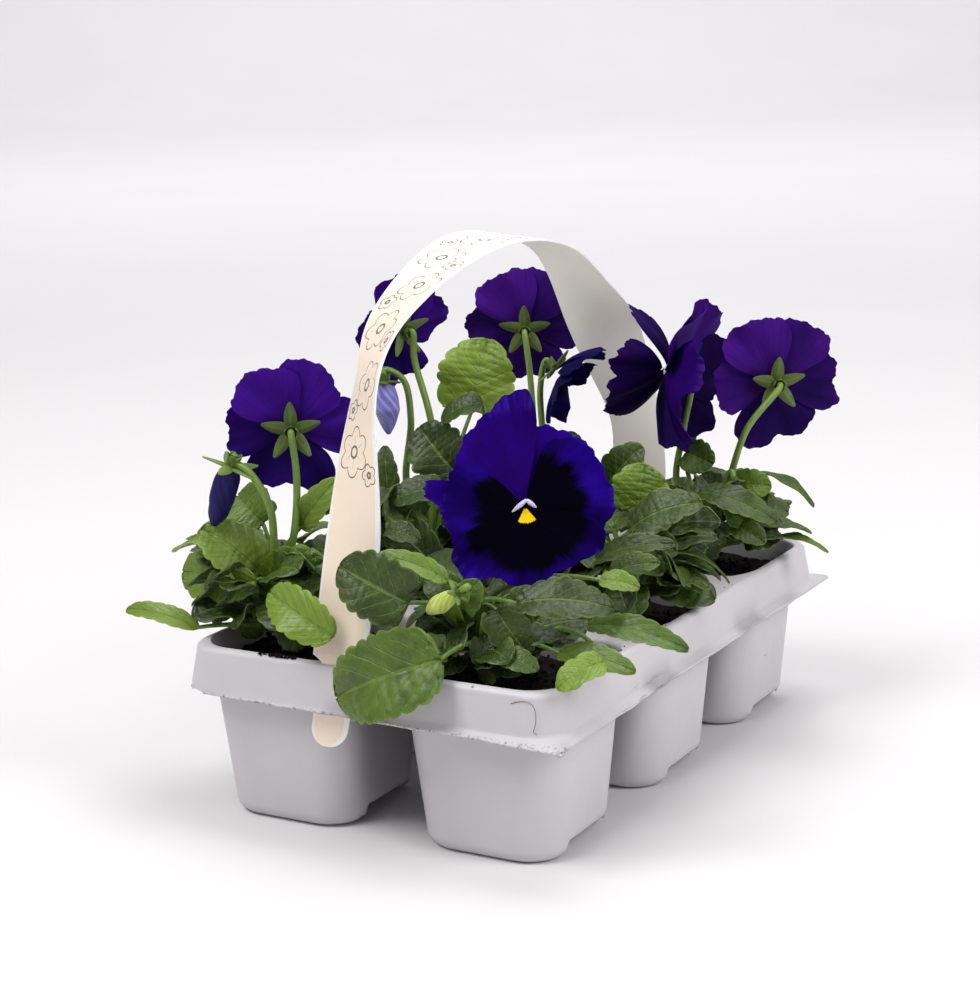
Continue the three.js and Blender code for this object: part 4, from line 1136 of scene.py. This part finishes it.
def in_the_way(point):
    """
    Whether a small leaf here would touch the strip's legs or arch, cover the bare mix at the
    right, hang over the front, or stand before the nearest flower.
    """
    x, y, z = point
    strip = abs(x + 9) < 19 and abs(y) > 104
    arch = abs(x + 9) < 19 and z > 168
    bare = 36 < x < 80 and 16 < y < 62 and z < 104
    return strip or arch or bare or y < -128 or (x > 20 and y < -60 and z > 108)


def small_leaves(head, foot, count, top, seed):
    """
    Small leaves low round the stem, the k-th near k golden turns, at random levels and with
    random reach, size and tilt. Half as many narrow upright stipules stand between them. Each
    starts beside the stem at its own level.
    """
    draw = np.random.default_rng(seed)
    made = []

    def beside_stem(level, out, off):
        share = np.clip((level - foot[2]) / (head[2] - foot[2]), 0.1, 1)
        return (foot + (head - foot) * share) * (1, 1, 0) + out * off + (0, 0, level)

    for k in range(count):
        out = outward(np.radians(GOLDEN_TURN * k) + draw.uniform(-0.3, 0.3))
        share = draw.random()
        near, long = draw.uniform(7, 18), draw.uniform(16, 29) * (0.8 + 0.35 * share)
        base = beside_stem(75 + (top - 75) * share, out, near)
        tip = base + out * long * 0.95 + (0, 0, draw.uniform(-6, 9) * (0.5 + share))
        face = (0.9 * draw.uniform(-1, 1), 0.9 * draw.uniform(-1, 1), draw.uniform(0.4, 1))
        width = long * draw.uniform(0.6, 0.85)
        if not in_the_way(tip) and not in_the_way(base + (tip - base) * 0.4):
            # The green is darker on the lower leaves, by their level: painted shade under the leaves
            # above, with a random part
            tone = draw.uniform(-0.2, 0.2) + 0.4 * share
            made.append((base, tip, width, face, tone, *SMALL_LEAF))
    for k in range(count // 2):
        out = outward(np.radians(97.5 * k + 40) + draw.uniform(-0.4, 0.4))
        base = beside_stem(draw.uniform(80, top - 6), out, draw.uniform(2, 12))
        tip = base + out * draw.uniform(3, 12) + (0, 0, draw.uniform(6, 14))
        if not in_the_way(tip):
            width, tone = draw.uniform(2.6, 4.5), draw.uniform(0.5, 1.0)
            made.append((base, tip, width, out, tone, *STIPULE))
    return made


def plant_patches(name, seed):
    """Main stem, leaves on their stalks, and flower stems with sepals, as one list of patches."""
    (x, y), head, above = PLANTS[name]
    foot, head = np.array([x, y, SOIL_Z + 3.0]), np.array(head, float)
    trunk = np.linspace([x, y, SOIL_Z - 12], [x, y, SOIL_Z + 1], 4)
    trunk = np.vstack([trunk, np.linspace([x, y, SOIL_Z + 2], head, 14)])
    made = [tube_patch(trunk, np.linspace(3.6, 2.4, len(trunk)), 14, 2, 0.06, 0.3)]
    leaves = [(*leaf, *BIG_LEAF) for leaf in LEAVES[name] + fan_leaves(head, *FANS[name])]
    leaves += small_leaves(head, foot, SMALL_LEAVES, head[2] + above, seed)
    for number, (base, tip, width, face, tone, rows, columns, stout) in enumerate(leaves):
        share = np.clip((base[2] - foot[2]) / (head[2] - foot[2]) - 0.3, 0.1, 0.92)
        line = leaf_stalk(base, tip, foot + (head - foot) * share)
        radius = np.linspace(1.35, 0.8, len(line)) * stout
        made.append(tube_patch(line, radius, 8, 2, 0.05, 0.3 + 0.5 * tone))
        made.append(leaf_blade(base, tip, width, face, tone, 1000 + 37 * number + seed, rows, columns))
    for plant, heart, looks_to, upright, points, long, spread, breadth in FLOWERS.values():
        if plant != name:
            continue
        z = unit(looks_to)
        start, neck, seat = head + (foot - head) * 0.3, heart - z * NECK, heart - z * CALYX_BACK
        line = slack_spline([start, *points, neck, seat], 12)
        made.append(tube_patch(line, np.linspace(1.6, 1.25, len(line)), 12, 2, 0.08, 0.9))
        made += sepals(heart, looks_to, upright, long, spread, breadth)
    return made


def leaf_finish(name, deep, mid, light, vein, underside):
    """
    Leaf green, lighter by `tone` and mottled, darker midway between side veins, with a fine net
    of veins and a pale rim. The midrib lies along v = 0 and the side veins where VEINS times (u
    minus 0.4 |v|) is a whole number, as in the blade. They fade towards the rim.
    """
    made = Finish(name, specular_ior_level=0.25 if underside else 0.5)
    made.glow(0.15, (0.4, 0.9, 0.2), 0.0015)
    spot, where = made.own_map(), made.place()
    across, along = abs(spot.part("X")), spot.part("Y")
    tone, age = made.attribute("tone"), made.attribute("age")
    mottle = made.noise(where, 90.0, 4.0, 0.6)
    patchy = mottle - 0.5
    cells = {"Vector": where, "Scale": 650.0}
    net = made.node("ShaderNodeTexVoronoi", {"feature": "DISTANCE_TO_EDGE"}, cells)
    net = 1 - net.between(0.0, 0.10)
    phase = (along - across * 0.4) * VEINS + 0.5 + patchy * 0.3
    branch = abs(phase.math("FRACT") - 0.5) * 2
    between = branch.between(0.2, 1.0) * (1 - across.between(0.7, 1.0))
    branch = (1 - branch.between(0.03, 0.16)) * (1 - across.between(0.55, 0.95))
    rib = 1 - across.between(0.025, 0.075)
    green = made.over(
        made.mix((tone + patchy * 0.9).between(0.0, 0.7), deep, mid),
        ((tone + (age - 0.5) * 0.3 + patchy * 0.5).between(0.5, 1.1), light),
        (between * (0.1 if underside else 0.25), deep),
        (net * 0.12, light),
        (across.between(0.9, 0.99) * 0.3, light),
        (branch * (0.7 if underside else 0.34), vein),
        (rib * (0.9 if underside else 0.5), vein),
    )
    made.set(base_color=green, roughness=0.34 + 0.2 * mottle)
    relief = branch * 0.7 + rib + net * 0.06
    made.bump(relief if underside else 1 - relief, 0.0006, 0.6)
    return made


# Deep, middle and light green, and the veins
leaf_top = leaf_finish(
    "leaf_upper", (0.009, 0.023, 0.0015), (0.056, 0.110, 0.006), (0.185, 0.29, 0.022),
    (0.15, 0.25, 0.04), False)
leaf_under = leaf_finish(
    "leaf_underside", (0.05, 0.085, 0.032), (0.095, 0.15, 0.055), (0.18, 0.27, 0.09),
    (0.23, 0.31, 0.16), True)

stem_green = Finish("stem", roughness=0.4, specular_ior_level=0.4)
stem_green.glow(0.15, (0.4, 0.9, 0.2), 0.002)
stem_place = stem_green.stretch(stem_green.place(), (1.0, 1.0, 0.25))
stem_streak = stem_green.noise(stem_place, 420.0, 3.0)
stem_tone = stem_green.attribute("tone")
stem_shade = stem_green.mix(stem_tone, (0.02, 0.05, 0.008), (0.16, 0.26, 0.045))
stem_shade = stem_green.mix(stem_streak.between(0.4, 0.7) * 0.4, stem_shade, (0.25, 0.36, 0.09))
stem_green.set(base_color=stem_shade)
stem_green.bump(stem_streak, 0.0003, 0.5)

sepal_green = Finish("sepal", roughness=0.5, specular_ior_level=0.3)
sepal_mid = 1 - abs(sepal_green.own_map().part("X")).between(0.05, 0.3)
sepal_narrow = 1 - sepal_green.attribute("tone").between(0.38, 0.5)
sepal_noise = sepal_green.noise(sepal_green.place(), 300.0, 3.0)
sepal_green.set(base_color=sepal_green.over(
    sepal_green.mix(sepal_noise, (0.045, 0.075, 0.014), (0.115, 0.165, 0.035)),
    (sepal_narrow * 0.7, (0.17, 0.27, 0.06)),
    (sepal_mid * 0.4, (0.15, 0.22, 0.06)),
))
sepal_green.bump(sepal_noise, 0.0003, 0.5)

for number, name in enumerate(PLANTS):
    patches = plant_patches(name, 50 + number)
    plant = piece(f"pansy_{name}", patches, [leaf_top, leaf_under, stem_green, sepal_green], 55.0)
    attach(plant, "root")
    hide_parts(f"plant_{name}")

# ---- Dirt on the tray --------------------------------------------------------------------------
# Crumbs of peat spilt on the rim and deck when the pots were filled, and a fine root fibre that
# dried on to the front of the skirt.

# Heaps: middle, how far the crumbs lie from it in x and y, count, largest size
SPILLS = [
    ((-41, -132.3), (9, 0.9), 46, 1.0),
    ((8, -98), (3, 30), 14, 0.7),
    ((84, -30), (1.5, 60), 14, 0.45),
    ((84, 60), (1.5, 50), 10, 0.45),
    ((-40, 131), (30, 1.5), 10, 0.45),
]
# The fibre's x and z down the skirt, the skirt's y at the level FIBRE_TOP, and how far it comes
# forward for each mm below that
FIBRE = [
    (69.4, 71.2), (72.5, 72.3), (77.3, 72.5), (79.6, 70.6),
    (80.4, 67.1), (80.1, 63.5), (79.6, 61.4), (81.0, 60.6),
]
FIBRE_TOP, SKIRT_Y, SKIRT_SLOPE = 74, -134.3, 0.115


def spill_patches(middle, spread, count, largest, seed):
    """Crumbs of the growing mix, made smaller and laid on the deck at random round a middle."""
    draw = np.random.default_rng(seed)
    made = []
    for crumb in crumb_patches((0.0, 0.0), count, seed):
        points = crumb["points"] - crumb["points"].mean(axis=(0, 1))
        points *= largest * draw.uniform(0.4, 1.0) / np.abs(points).max()
        spot = np.array(middle) + draw.uniform(-1, 1, 2) * spread
        lift = RIM_Z - points[..., 2].min() * 0.7
        made.append({**crumb, "points": points + (*spot, lift)})
    return made


spilt = []
for number, spill in enumerate(SPILLS):
    spilt += spill_patches(*spill, 70 + number)
crumbs = piece("spilt_crumbs", spilt, [growing_mix], 60.0)
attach(crumbs, "root")

on_skirt = [(x, SKIRT_Y - SKIRT_SLOPE * (FIBRE_TOP - z), z) for x, z in FIBRE]
fibre_line = slack_spline(on_skirt, 8)
fibre_tone = Finish("root_fibre", base_color=(0.16, 0.12, 0.08), roughness=0.7)
fibre = piece("root_fibre", [tube_patch(fibre_line, 0.14, 6, 0)], [fibre_tone], 60.0)
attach(fibre, "root")

# ---- Blooms ------------------------------------------------------------------------------------
# Open pansy flowers: two broad petals behind, one at each side and a wide one below, thin and
# velvety, with ruffled rims. The three lower ones carry near-black blotches round a yellow eye.

# Each petal is a fan: middle angle, reach, half the fan's angle, layer, share of the reach that
# the blotch covers, how far the rim is bent forward, and the rim's reach from side to side. The
# nearest flower has its own petals, with their reach in mm; elsewhere reach is times the radius
ROUND_RIM = (0.80, 0.96, 1.0, 0.96, 0.80)
OPEN_PETALS = [
    (62, 1.0, 47, 0, 0.0, 0, ROUND_RIM),
    (118, 1.02, 46, 1, 0.0, 0, ROUND_RIM),
    (2, 0.97, 38, 2, 0.55, 0, ROUND_RIM),
    (178, 0.97, 38, 2.3, 0.55, 0, ROUND_RIM),
    (270, 0.98, 60, 3, 0.6, 0, (0.80, 0.97, 0.99, 0.91, 0.98, 1.0, 0.80)),
]
FRONT_PETALS = [
    (52, 35, 44, 0, 0.0, 0, ROUND_RIM),
    (172, 41, 15, 0, 0.0, -1, (0.7, 1.0, 0.98, 0.8, 0.6)),
    (124, 40, 46, 1, 0.0, 0, (1.18, 1.17, 1.10, 1.03, 0.95, 0.88, 0.84, 0.82, 0.80)),
    (25, 35.5, 50, 2, 0.70, 0, (0.95, 0.99, 1.0, 0.98, 0.93, 0.88)),
    (177, 33.5, 43, 2.4, 0.62, 0, (0.85, 0.95, 1.0, 0.98, 0.95)),
    (276, 34.5, 78, 3, 0.80, 0, (0.98, 1.06, 1.08, 0.93, 0.92, 0.93, 0.86, 0.90, 0.97, 1.03, 1.0)),
]
# A windblown flower: five broad petals bent back, and four rolled forward over its throat
CURLED_PETALS = [
    (58, 1.04, 47, 0, 0.0, -13, (0.8, 1.0, 0.97, 1.0, 0.80)),
    (112, 1.08, 48, 1, 0.0, -9, (0.78, 0.95, 1.0, 0.96, 1.0, 0.80)),
    (0, 1.05, 62, 2, 0.0, -33, (0.9, 1.0, 0.97, 1.0, 0.9)),
    (178, 1.02, 46, 2.3, 0.0, -15, (0.8, 0.93, 1.0, 0.94, 0.8)),
    (262, 1.05, 66, 3, 0.0, -18, (0.80, 0.97, 0.95, 1.0, 0.95, 1.0, 0.80)),
    (95, 0.7, 30, 4, 0.0, 21, ROUND_RIM),
    (310, 0.85, 50, 4.5, 0.0, 17, ROUND_RIM),
    (255, 0.9, 52, 5.5, 0.0, 20, (0.8, 1.0, 0.93, 1.0, 0.8)),
    (10, 0.6, 48, 6, 0.0, 12, ROUND_RIM),
]
# Petals, radius, cup, ripple, how unlike each other the rims are, finish
BLOOMS = {
    "a": (FRONT_PETALS, 1, 2, 2.2, 0.01, "violet"),
    "b": (OPEN_PETALS, 31, -3, 2.2, 0.09, "violet"),
    "d": (OPEN_PETALS, 29, -2, 3.0, 0.10, "violet"),
    "f": (OPEN_PETALS, 31, 3, 2.2, 0.06, "plum"),
    "g": (OPEN_PETALS, 22, 10, 2.0, 0.10, "indigo"),
    "h": (CURLED_PETALS, 34, 3, 2.6, 0.05, "plum"),
    "i": (OPEN_PETALS, 34, -2, 2.5, 0.11, "plum"),
}
# Height between layers of petals, and ripples in a turn of the rim
PETAL_LAYER = 1.5
WAVES = 7
PETAL_THICK = 0.35
# The fan's half angle that spans the map from -1 to 1
MAP_FAN = 50


def petal_patch(heart, axes, petal, radius, cup, wave, vary, seed):
    """
    A petal as a fan: v turns it by v times half its angle, and u runs out to the rim, whose reach
    is a smooth curve over v, rounded off at both ends and finely waved. Its height is a cup, a
    forward bend and one ripple for the whole bloom, with folds, small ruffles and a curled rim.
    """
    x, y, z = axes
    angle, reach, fan, layer, blotch, lift, rim = petal
    draw = np.random.default_rng(seed)
    u = np.linspace(0.03, 1, 40)[:, None]
    v = np.sin(np.linspace(-1, 1, 65) * np.pi / 2)[None, :]
    turn = np.radians(angle + 60 * vary * draw.uniform(-1, 1) + fan * v)
    own_rim = np.array(rim) + draw.uniform(-1.5 * vary, 0.5 * vary, len(rim))
    shares = even_spline(np.stack([own_rim, 0 * own_rim], -1), 0.5 + 0.5 * v[0])[0][:, 0]
    ends = (1 - np.abs(v) ** 10) ** 0.45
    jag = 1
    for high, often in [(0.016, 8), (0.014, 21), (0.008, 47)]:
        jag = jag + high * np.sin(often * v + draw.uniform(0, 6))
    far = reach * radius * shares[None, :] * jag * (0.15 + 0.85 * ends)
    spot = (x * np.cos(turn)[..., None] + y * np.sin(turn)[..., None]) * (far * u)[..., None]
    share = far * u / (reach * radius)
    ripple = wave * np.sin(WAVES * turn + 2.5 * share)
    ruffle = 0.3 * wave * np.sin(17 * turn + draw.uniform(0, 6)) * share**5
    folds = 0
    for _ in range(5):
        high, at, broad = draw.uniform(-1, 1), draw.uniform(-0.8, 0.8), draw.uniform(0.1, 0.25)
        folds = folds + high * np.exp(-((v - at) / broad) ** 2)
    folds = folds * share**1.5 * 0.5 * (wave - 0.4)
    curl = np.sin(3.1 * v + draw.uniform(0, 6)) * np.maximum(0, share - 0.75) ** 2
    curl = curl * 16 * draw.uniform(0.3, 1.2)
    vein = 0.04 * np.cos(30 * np.pi * v * fan / MAP_FAN) * np.sin(np.pi * np.minimum(share, 1))
    rise = 0.8 + layer * PETAL_LAYER + (cup + lift + ripple) * share**2 + ruffle + folds + curl + vein
    grid = np.array(heart, float) + spot + z * rise[..., None]
    uv = np.stack(np.broadcast_arrays(v * fan / MAP_FAN, u), -1)
    # Upper petals lighter and each layer below darker: painted light and shade of the overlapping
    # petals, with a random part
    hue = np.clip(0.9 - 0.3 * layer + 0.3 * draw.uniform(-1, 1), 0, 1)
    marks = {"share": share, "blotch": blotch, "hue": hue, "low": float(layer == 3)}
    marks = {key: mark[:, ::-1] if np.ndim(mark) else mark for key, mark in marks.items()}
    return slab(grid[:, ::-1], PETAL_THICK, uv[:, ::-1], marks)


def throat_patches(heart, axes, tilt):
    """Two pale bearded lobes over the eye: short tapering rolls that meet in an upturned V."""
    x, y, z = axes
    heart = np.array(heart, float)
    t = np.linspace(0, 1, 14)[:, None]
    made = []
    for sign, long in ((-1, 6.2 + tilt), (1, 6.2 - tilt)):
        top = heart + z * 6.3 + y * 2.6 + x * 0.5 * tilt
        end = top + x * sign * long * 0.78 - y * long * 0.62 - z * 0.8
        line = top + (end - top) * t + z * 0.5 * np.sin(np.pi * t)
        made.append(tube_patch(line, 0.95 * np.sin(np.pi * (0.2 + 0.74 * t[:, 0])) ** 0.8, 10, 2))
    return made


# Colours that all the blooms share: the dark blotch, the upper petals' violet, the yellow eye
BLOTCH = (0.001, 0.0004, 0.004)
UPPER_TINT = (0.028, 0.0015, 0.14)
EYE_YELLOW = (0.90, 0.60, 0.01)


def petal_finish(name, bright, deep, rim_highlight):
    """
    Velvet. Fine rays run out along the petal (noise stretched along u). The blotch ends in ragged
    rays where the share of the way out passes its limit, petals without one are tinted, and the
    lowest petal has a yellow eye at its base. Upper petals are painted lighter and lower layers
    darker, as light and shade of the overlapping petals, and a painted highlight streaks the rim.
    """
    made = Finish(name, specular_ior_level=0.015)
    spot = made.own_map()
    share, hue = made.attribute("share"), made.attribute("hue")
    rays = made.noise(made.stretch(spot, (12.0, 0.7, 1.0)), 1.0, 4.0, 0.6)
    soft = made.noise(made.stretch(spot, (3.0, 1.2, 1.0)), 1.0, 2.0, 0.5)
    cloud = made.noise(made.place(), 60.0, 3.0)
    # Lighter on the upper petals and darker on the lower layers: painted light and shade, besides the
    # clouds and rays
    light = (cloud * 0.8 + rays * 0.3 + hue * 0.25).between(0.4, 0.9)
    blotch = made.attribute("blotch")
    has_blotch = blotch.between(0.1, 0.2)
    limit = blotch + (rays - 0.5) * 0.22 + (soft - 0.5) * 0.5
    eye = (1 - (share + (rays - 0.5) * 0.06).between(0.185, 0.2)) * made.attribute("low")
    color = made.over(
        made.mix(light, deep, bright),
        ((1 - share.between(0.35, 1.0)) * 0.5, deep),
        ((1 - has_blotch) * 0.3, UPPER_TINT),
        ((1 - (share - limit).between(-0.11, 0.07)) * has_blotch, BLOTCH),
        # Painted highlight in pale streaks along the rim
        (share.between(0.93, 1.02) * rays.between(0.4, 0.7) * 0.3, rim_highlight),
        (eye * (1 - abs(spot.part("X")).between(0.62, 0.7)), EYE_YELLOW),
    )
    lines = abs((spot.part("X") * 13.0).math("SINE"))
    made.set(base_color=color, roughness=0.6 + 0.2 * rays)
    made.bump(rays * 0.6 + lines * 0.3, 0.0004, 0.5)
    return made


def petal_back_finish(name, bright, deep, rim_highlight):
    """The matt back of a petal: light and dark patches, painted light on the upper petals and
    painted shade on the lower layers, fine branching veins, a painted highlight along the rim and
    a darker base.
    """
    made = Finish(name, roughness=0.75, specular_ior_level=0.06)
    spot = made.own_map()
    share, hue = made.attribute("share"), made.attribute("hue")
    rays = made.noise(made.stretch(spot, (11.0, 0.9, 1.0)), 1.0, 4.0, 0.6)
    cloud = made.noise(made.place(), 45.0, 3.0)
    # Lighter on the upper petals and darker on the lower layers: painted light and shade, besides the
    # clouds, rays and way out
    light = cloud * 0.7 + rays * 0.2 + share * 0.25 + hue * 0.55
    lines = 1 - abs((spot.part("X") * 15.0 + rays * 2.5).math("SINE")).between(0.04, 0.25)
    made.set(base_color=made.over(
        made.mix(light.between(0.55, 1.2), deep, bright),
        (lines * 0.16 * share.between(0.1, 0.4), deep),
        # Painted highlight in pale streaks along the rim
        (share.between(0.9, 1.02) * rays.between(0.45, 0.7) * 0.35, rim_highlight),
        ((1 - share.between(0.15, 0.5)) * 0.5, (0.012, 0.002, 0.05)),
    ))
    made.bump(rays * 0.6 + lines * 0.2, 0.0004, 0.5)
    return made


# Bright and deep colour of a petal's face and the colour of its painted rim highlight, and then the
# same for its back
PETAL_COLORS = {
    "violet": (
        ((0.019, 0.002, 0.27), (0.006, 0.0005, 0.06), (0.07, 0.03, 0.50)),
        ((0.050, 0.005, 0.25), (0.010, 0.0015, 0.08), (0.12, 0.05, 0.44)),
    ),
    "plum": (
        ((0.030, 0.003, 0.18), (0.010, 0.001, 0.06), (0.15, 0.06, 0.42)),
        ((0.050, 0.005, 0.19), (0.009, 0.0012, 0.055), (0.16, 0.06, 0.38)),
    ),
    "indigo": (
        ((0.014, 0.006, 0.15), (0.006, 0.003, 0.06), (0.07, 0.06, 0.32)),
        ((0.013, 0.009, 0.13), (0.005, 0.003, 0.045), (0.05, 0.05, 0.27)),
    ),
}
PETAL_LOOKS = {}
for look, (face_colors, back_colors) in PETAL_COLORS.items():
    face = petal_finish(f"petal_{look}", *face_colors)
    PETAL_LOOKS[look] = [face, petal_back_finish(f"petal_{look}_back", *back_colors)]

throat = Finish("throat_beard", roughness=0.8)
throat_noise = throat.noise(throat.place(), 1500.0, 4.0)
throat.set(base_color=throat.mix(throat_noise, (0.42, 0.34, 0.62), (0.85, 0.80, 0.92)))
throat.bump(throat_noise, 0.0006, 1.0)

for number, (name, (petals, radius, cup, wave, vary, look)) in enumerate(BLOOMS.items()):
    plant, heart, looks_to, upright = FLOWERS[name][:4]
    axes = flower_axes(looks_to, upright)
    patches = []
    for k, petal in enumerate(petals, 300 + 10 * number):
        patches.append(petal_patch(heart, axes, petal, radius, cup, wave, vary, k))
    patches += throat_patches(heart, axes, 1.2 if name == "a" else 0.0)
    bloom = piece(f"petals_{name}", patches, [*PETAL_LOOKS[look], throat], 55.0)
    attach(bloom, "root")
    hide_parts(f"bloom_{name}")
    "petal_indigo" if look == "indigo" else "petal_violet"

# ---- Buds --------------------------------------------------------------------------------------
# Closed flowers: petals rolled round each other into a tapering scroll, held by their sepals. Two
# are dark, one is a faded lavender, and the smallest in front is still green.

# Distance from the calyx and radius along the bud, CAD finish, dark and light colour
BUDS = {
    "c": ([(0, 4), (6, 5.6), (15, 5.6), (22, 4.4), (27, 2)], "petal_indigo",
          (0.005, 0.003, 0.05), (0.014, 0.009, 0.13)),
    "e": ([(0, 3.5), (5, 5.6), (12, 6.3), (17, 4), (22, 1.5)], "petal_faded",
          (0.13, 0.12, 0.42), (0.38, 0.35, 0.68)),
    "j": ([(0, 2), (4, 3.6), (9, 3), (12, 1.2)], "petal_indigo",
          (0.012, 0.008, 0.13), (0.03, 0.02, 0.24)),
    "k": ([(0, 2), (4, 3.6), (10, 4), (15, 2)], "petal_lime",
          (0.36, 0.46, 0.07), (0.62, 0.70, 0.22)),
}


def bud_patch(heart, axes, profile):
    """
    Rings along the bud. Their radius follows the profile, smoothed, with the tip pinched in. It
    swells by a power of the fraction of three turns, so three edges run up it in a spiral.
    """
    x, y, z = axes
    along, wide = np.array(profile, float).T
    t = np.linspace(0, 1, 40)
    reach = t * (along[-1] + 0.6) + 0.3
    radius = np.interp(reach, along + 0.3, wide) * np.where(t < 0.97, 1, 0.6)
    for _ in range(4):
        radius[1:-1] = 0.25 * radius[:-2] + 0.5 * radius[1:-1] + 0.25 * radius[2:]
    angle = np.arange(48) * 2 * np.pi / 48
    scroll = (3 * angle[None, :] / (2 * np.pi) + 1.3 * t[:, None]) % 1.0
    swell = radius[:, None] * (0.88 + 0.12 * scroll ** 0.6 + 0.03 * np.sin(9 * t[:, None] + 2 * angle))
    right, up = swell * np.cos(angle), swell * np.sin(angle)
    points = laid_out(heart, (x, right), (y, up), (z, reach[:, None]))
    return closed_rings(points, uv=np.stack(np.broadcast_arrays(scroll, t[:, None]), -1))


for name, (profile, slot_name, deep, light) in BUDS.items():
    plant, heart, looks_to, upright = FLOWERS[name][:4]
    silk = Finish(f"bud_{name}_petal", roughness=0.6, specular_ior_level=0.2)
    silk_map = silk.own_map()
    silk_noise = silk.noise(silk.stretch(silk_map, (6.0, 1.2, 1.0)), 1.0, 4.0)
    silk_color = silk.mix(silk_noise.between(0.35, 0.7), deep, light)
    edge_shade = (1 - silk_map.part("X").between(0.0, 0.25)) * 0.7
    silk.set(base_color=silk.mix(edge_shade, silk_color, deep))
    silk.bump(silk_noise, 0.0004, 0.6)
    scroll = bud_patch(heart, flower_axes(looks_to, upright), profile)
    bud = piece(f"scroll_{name}", [scroll], [silk], 50.0)
    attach(bud, "root")
    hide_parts(f"bud_{name}")
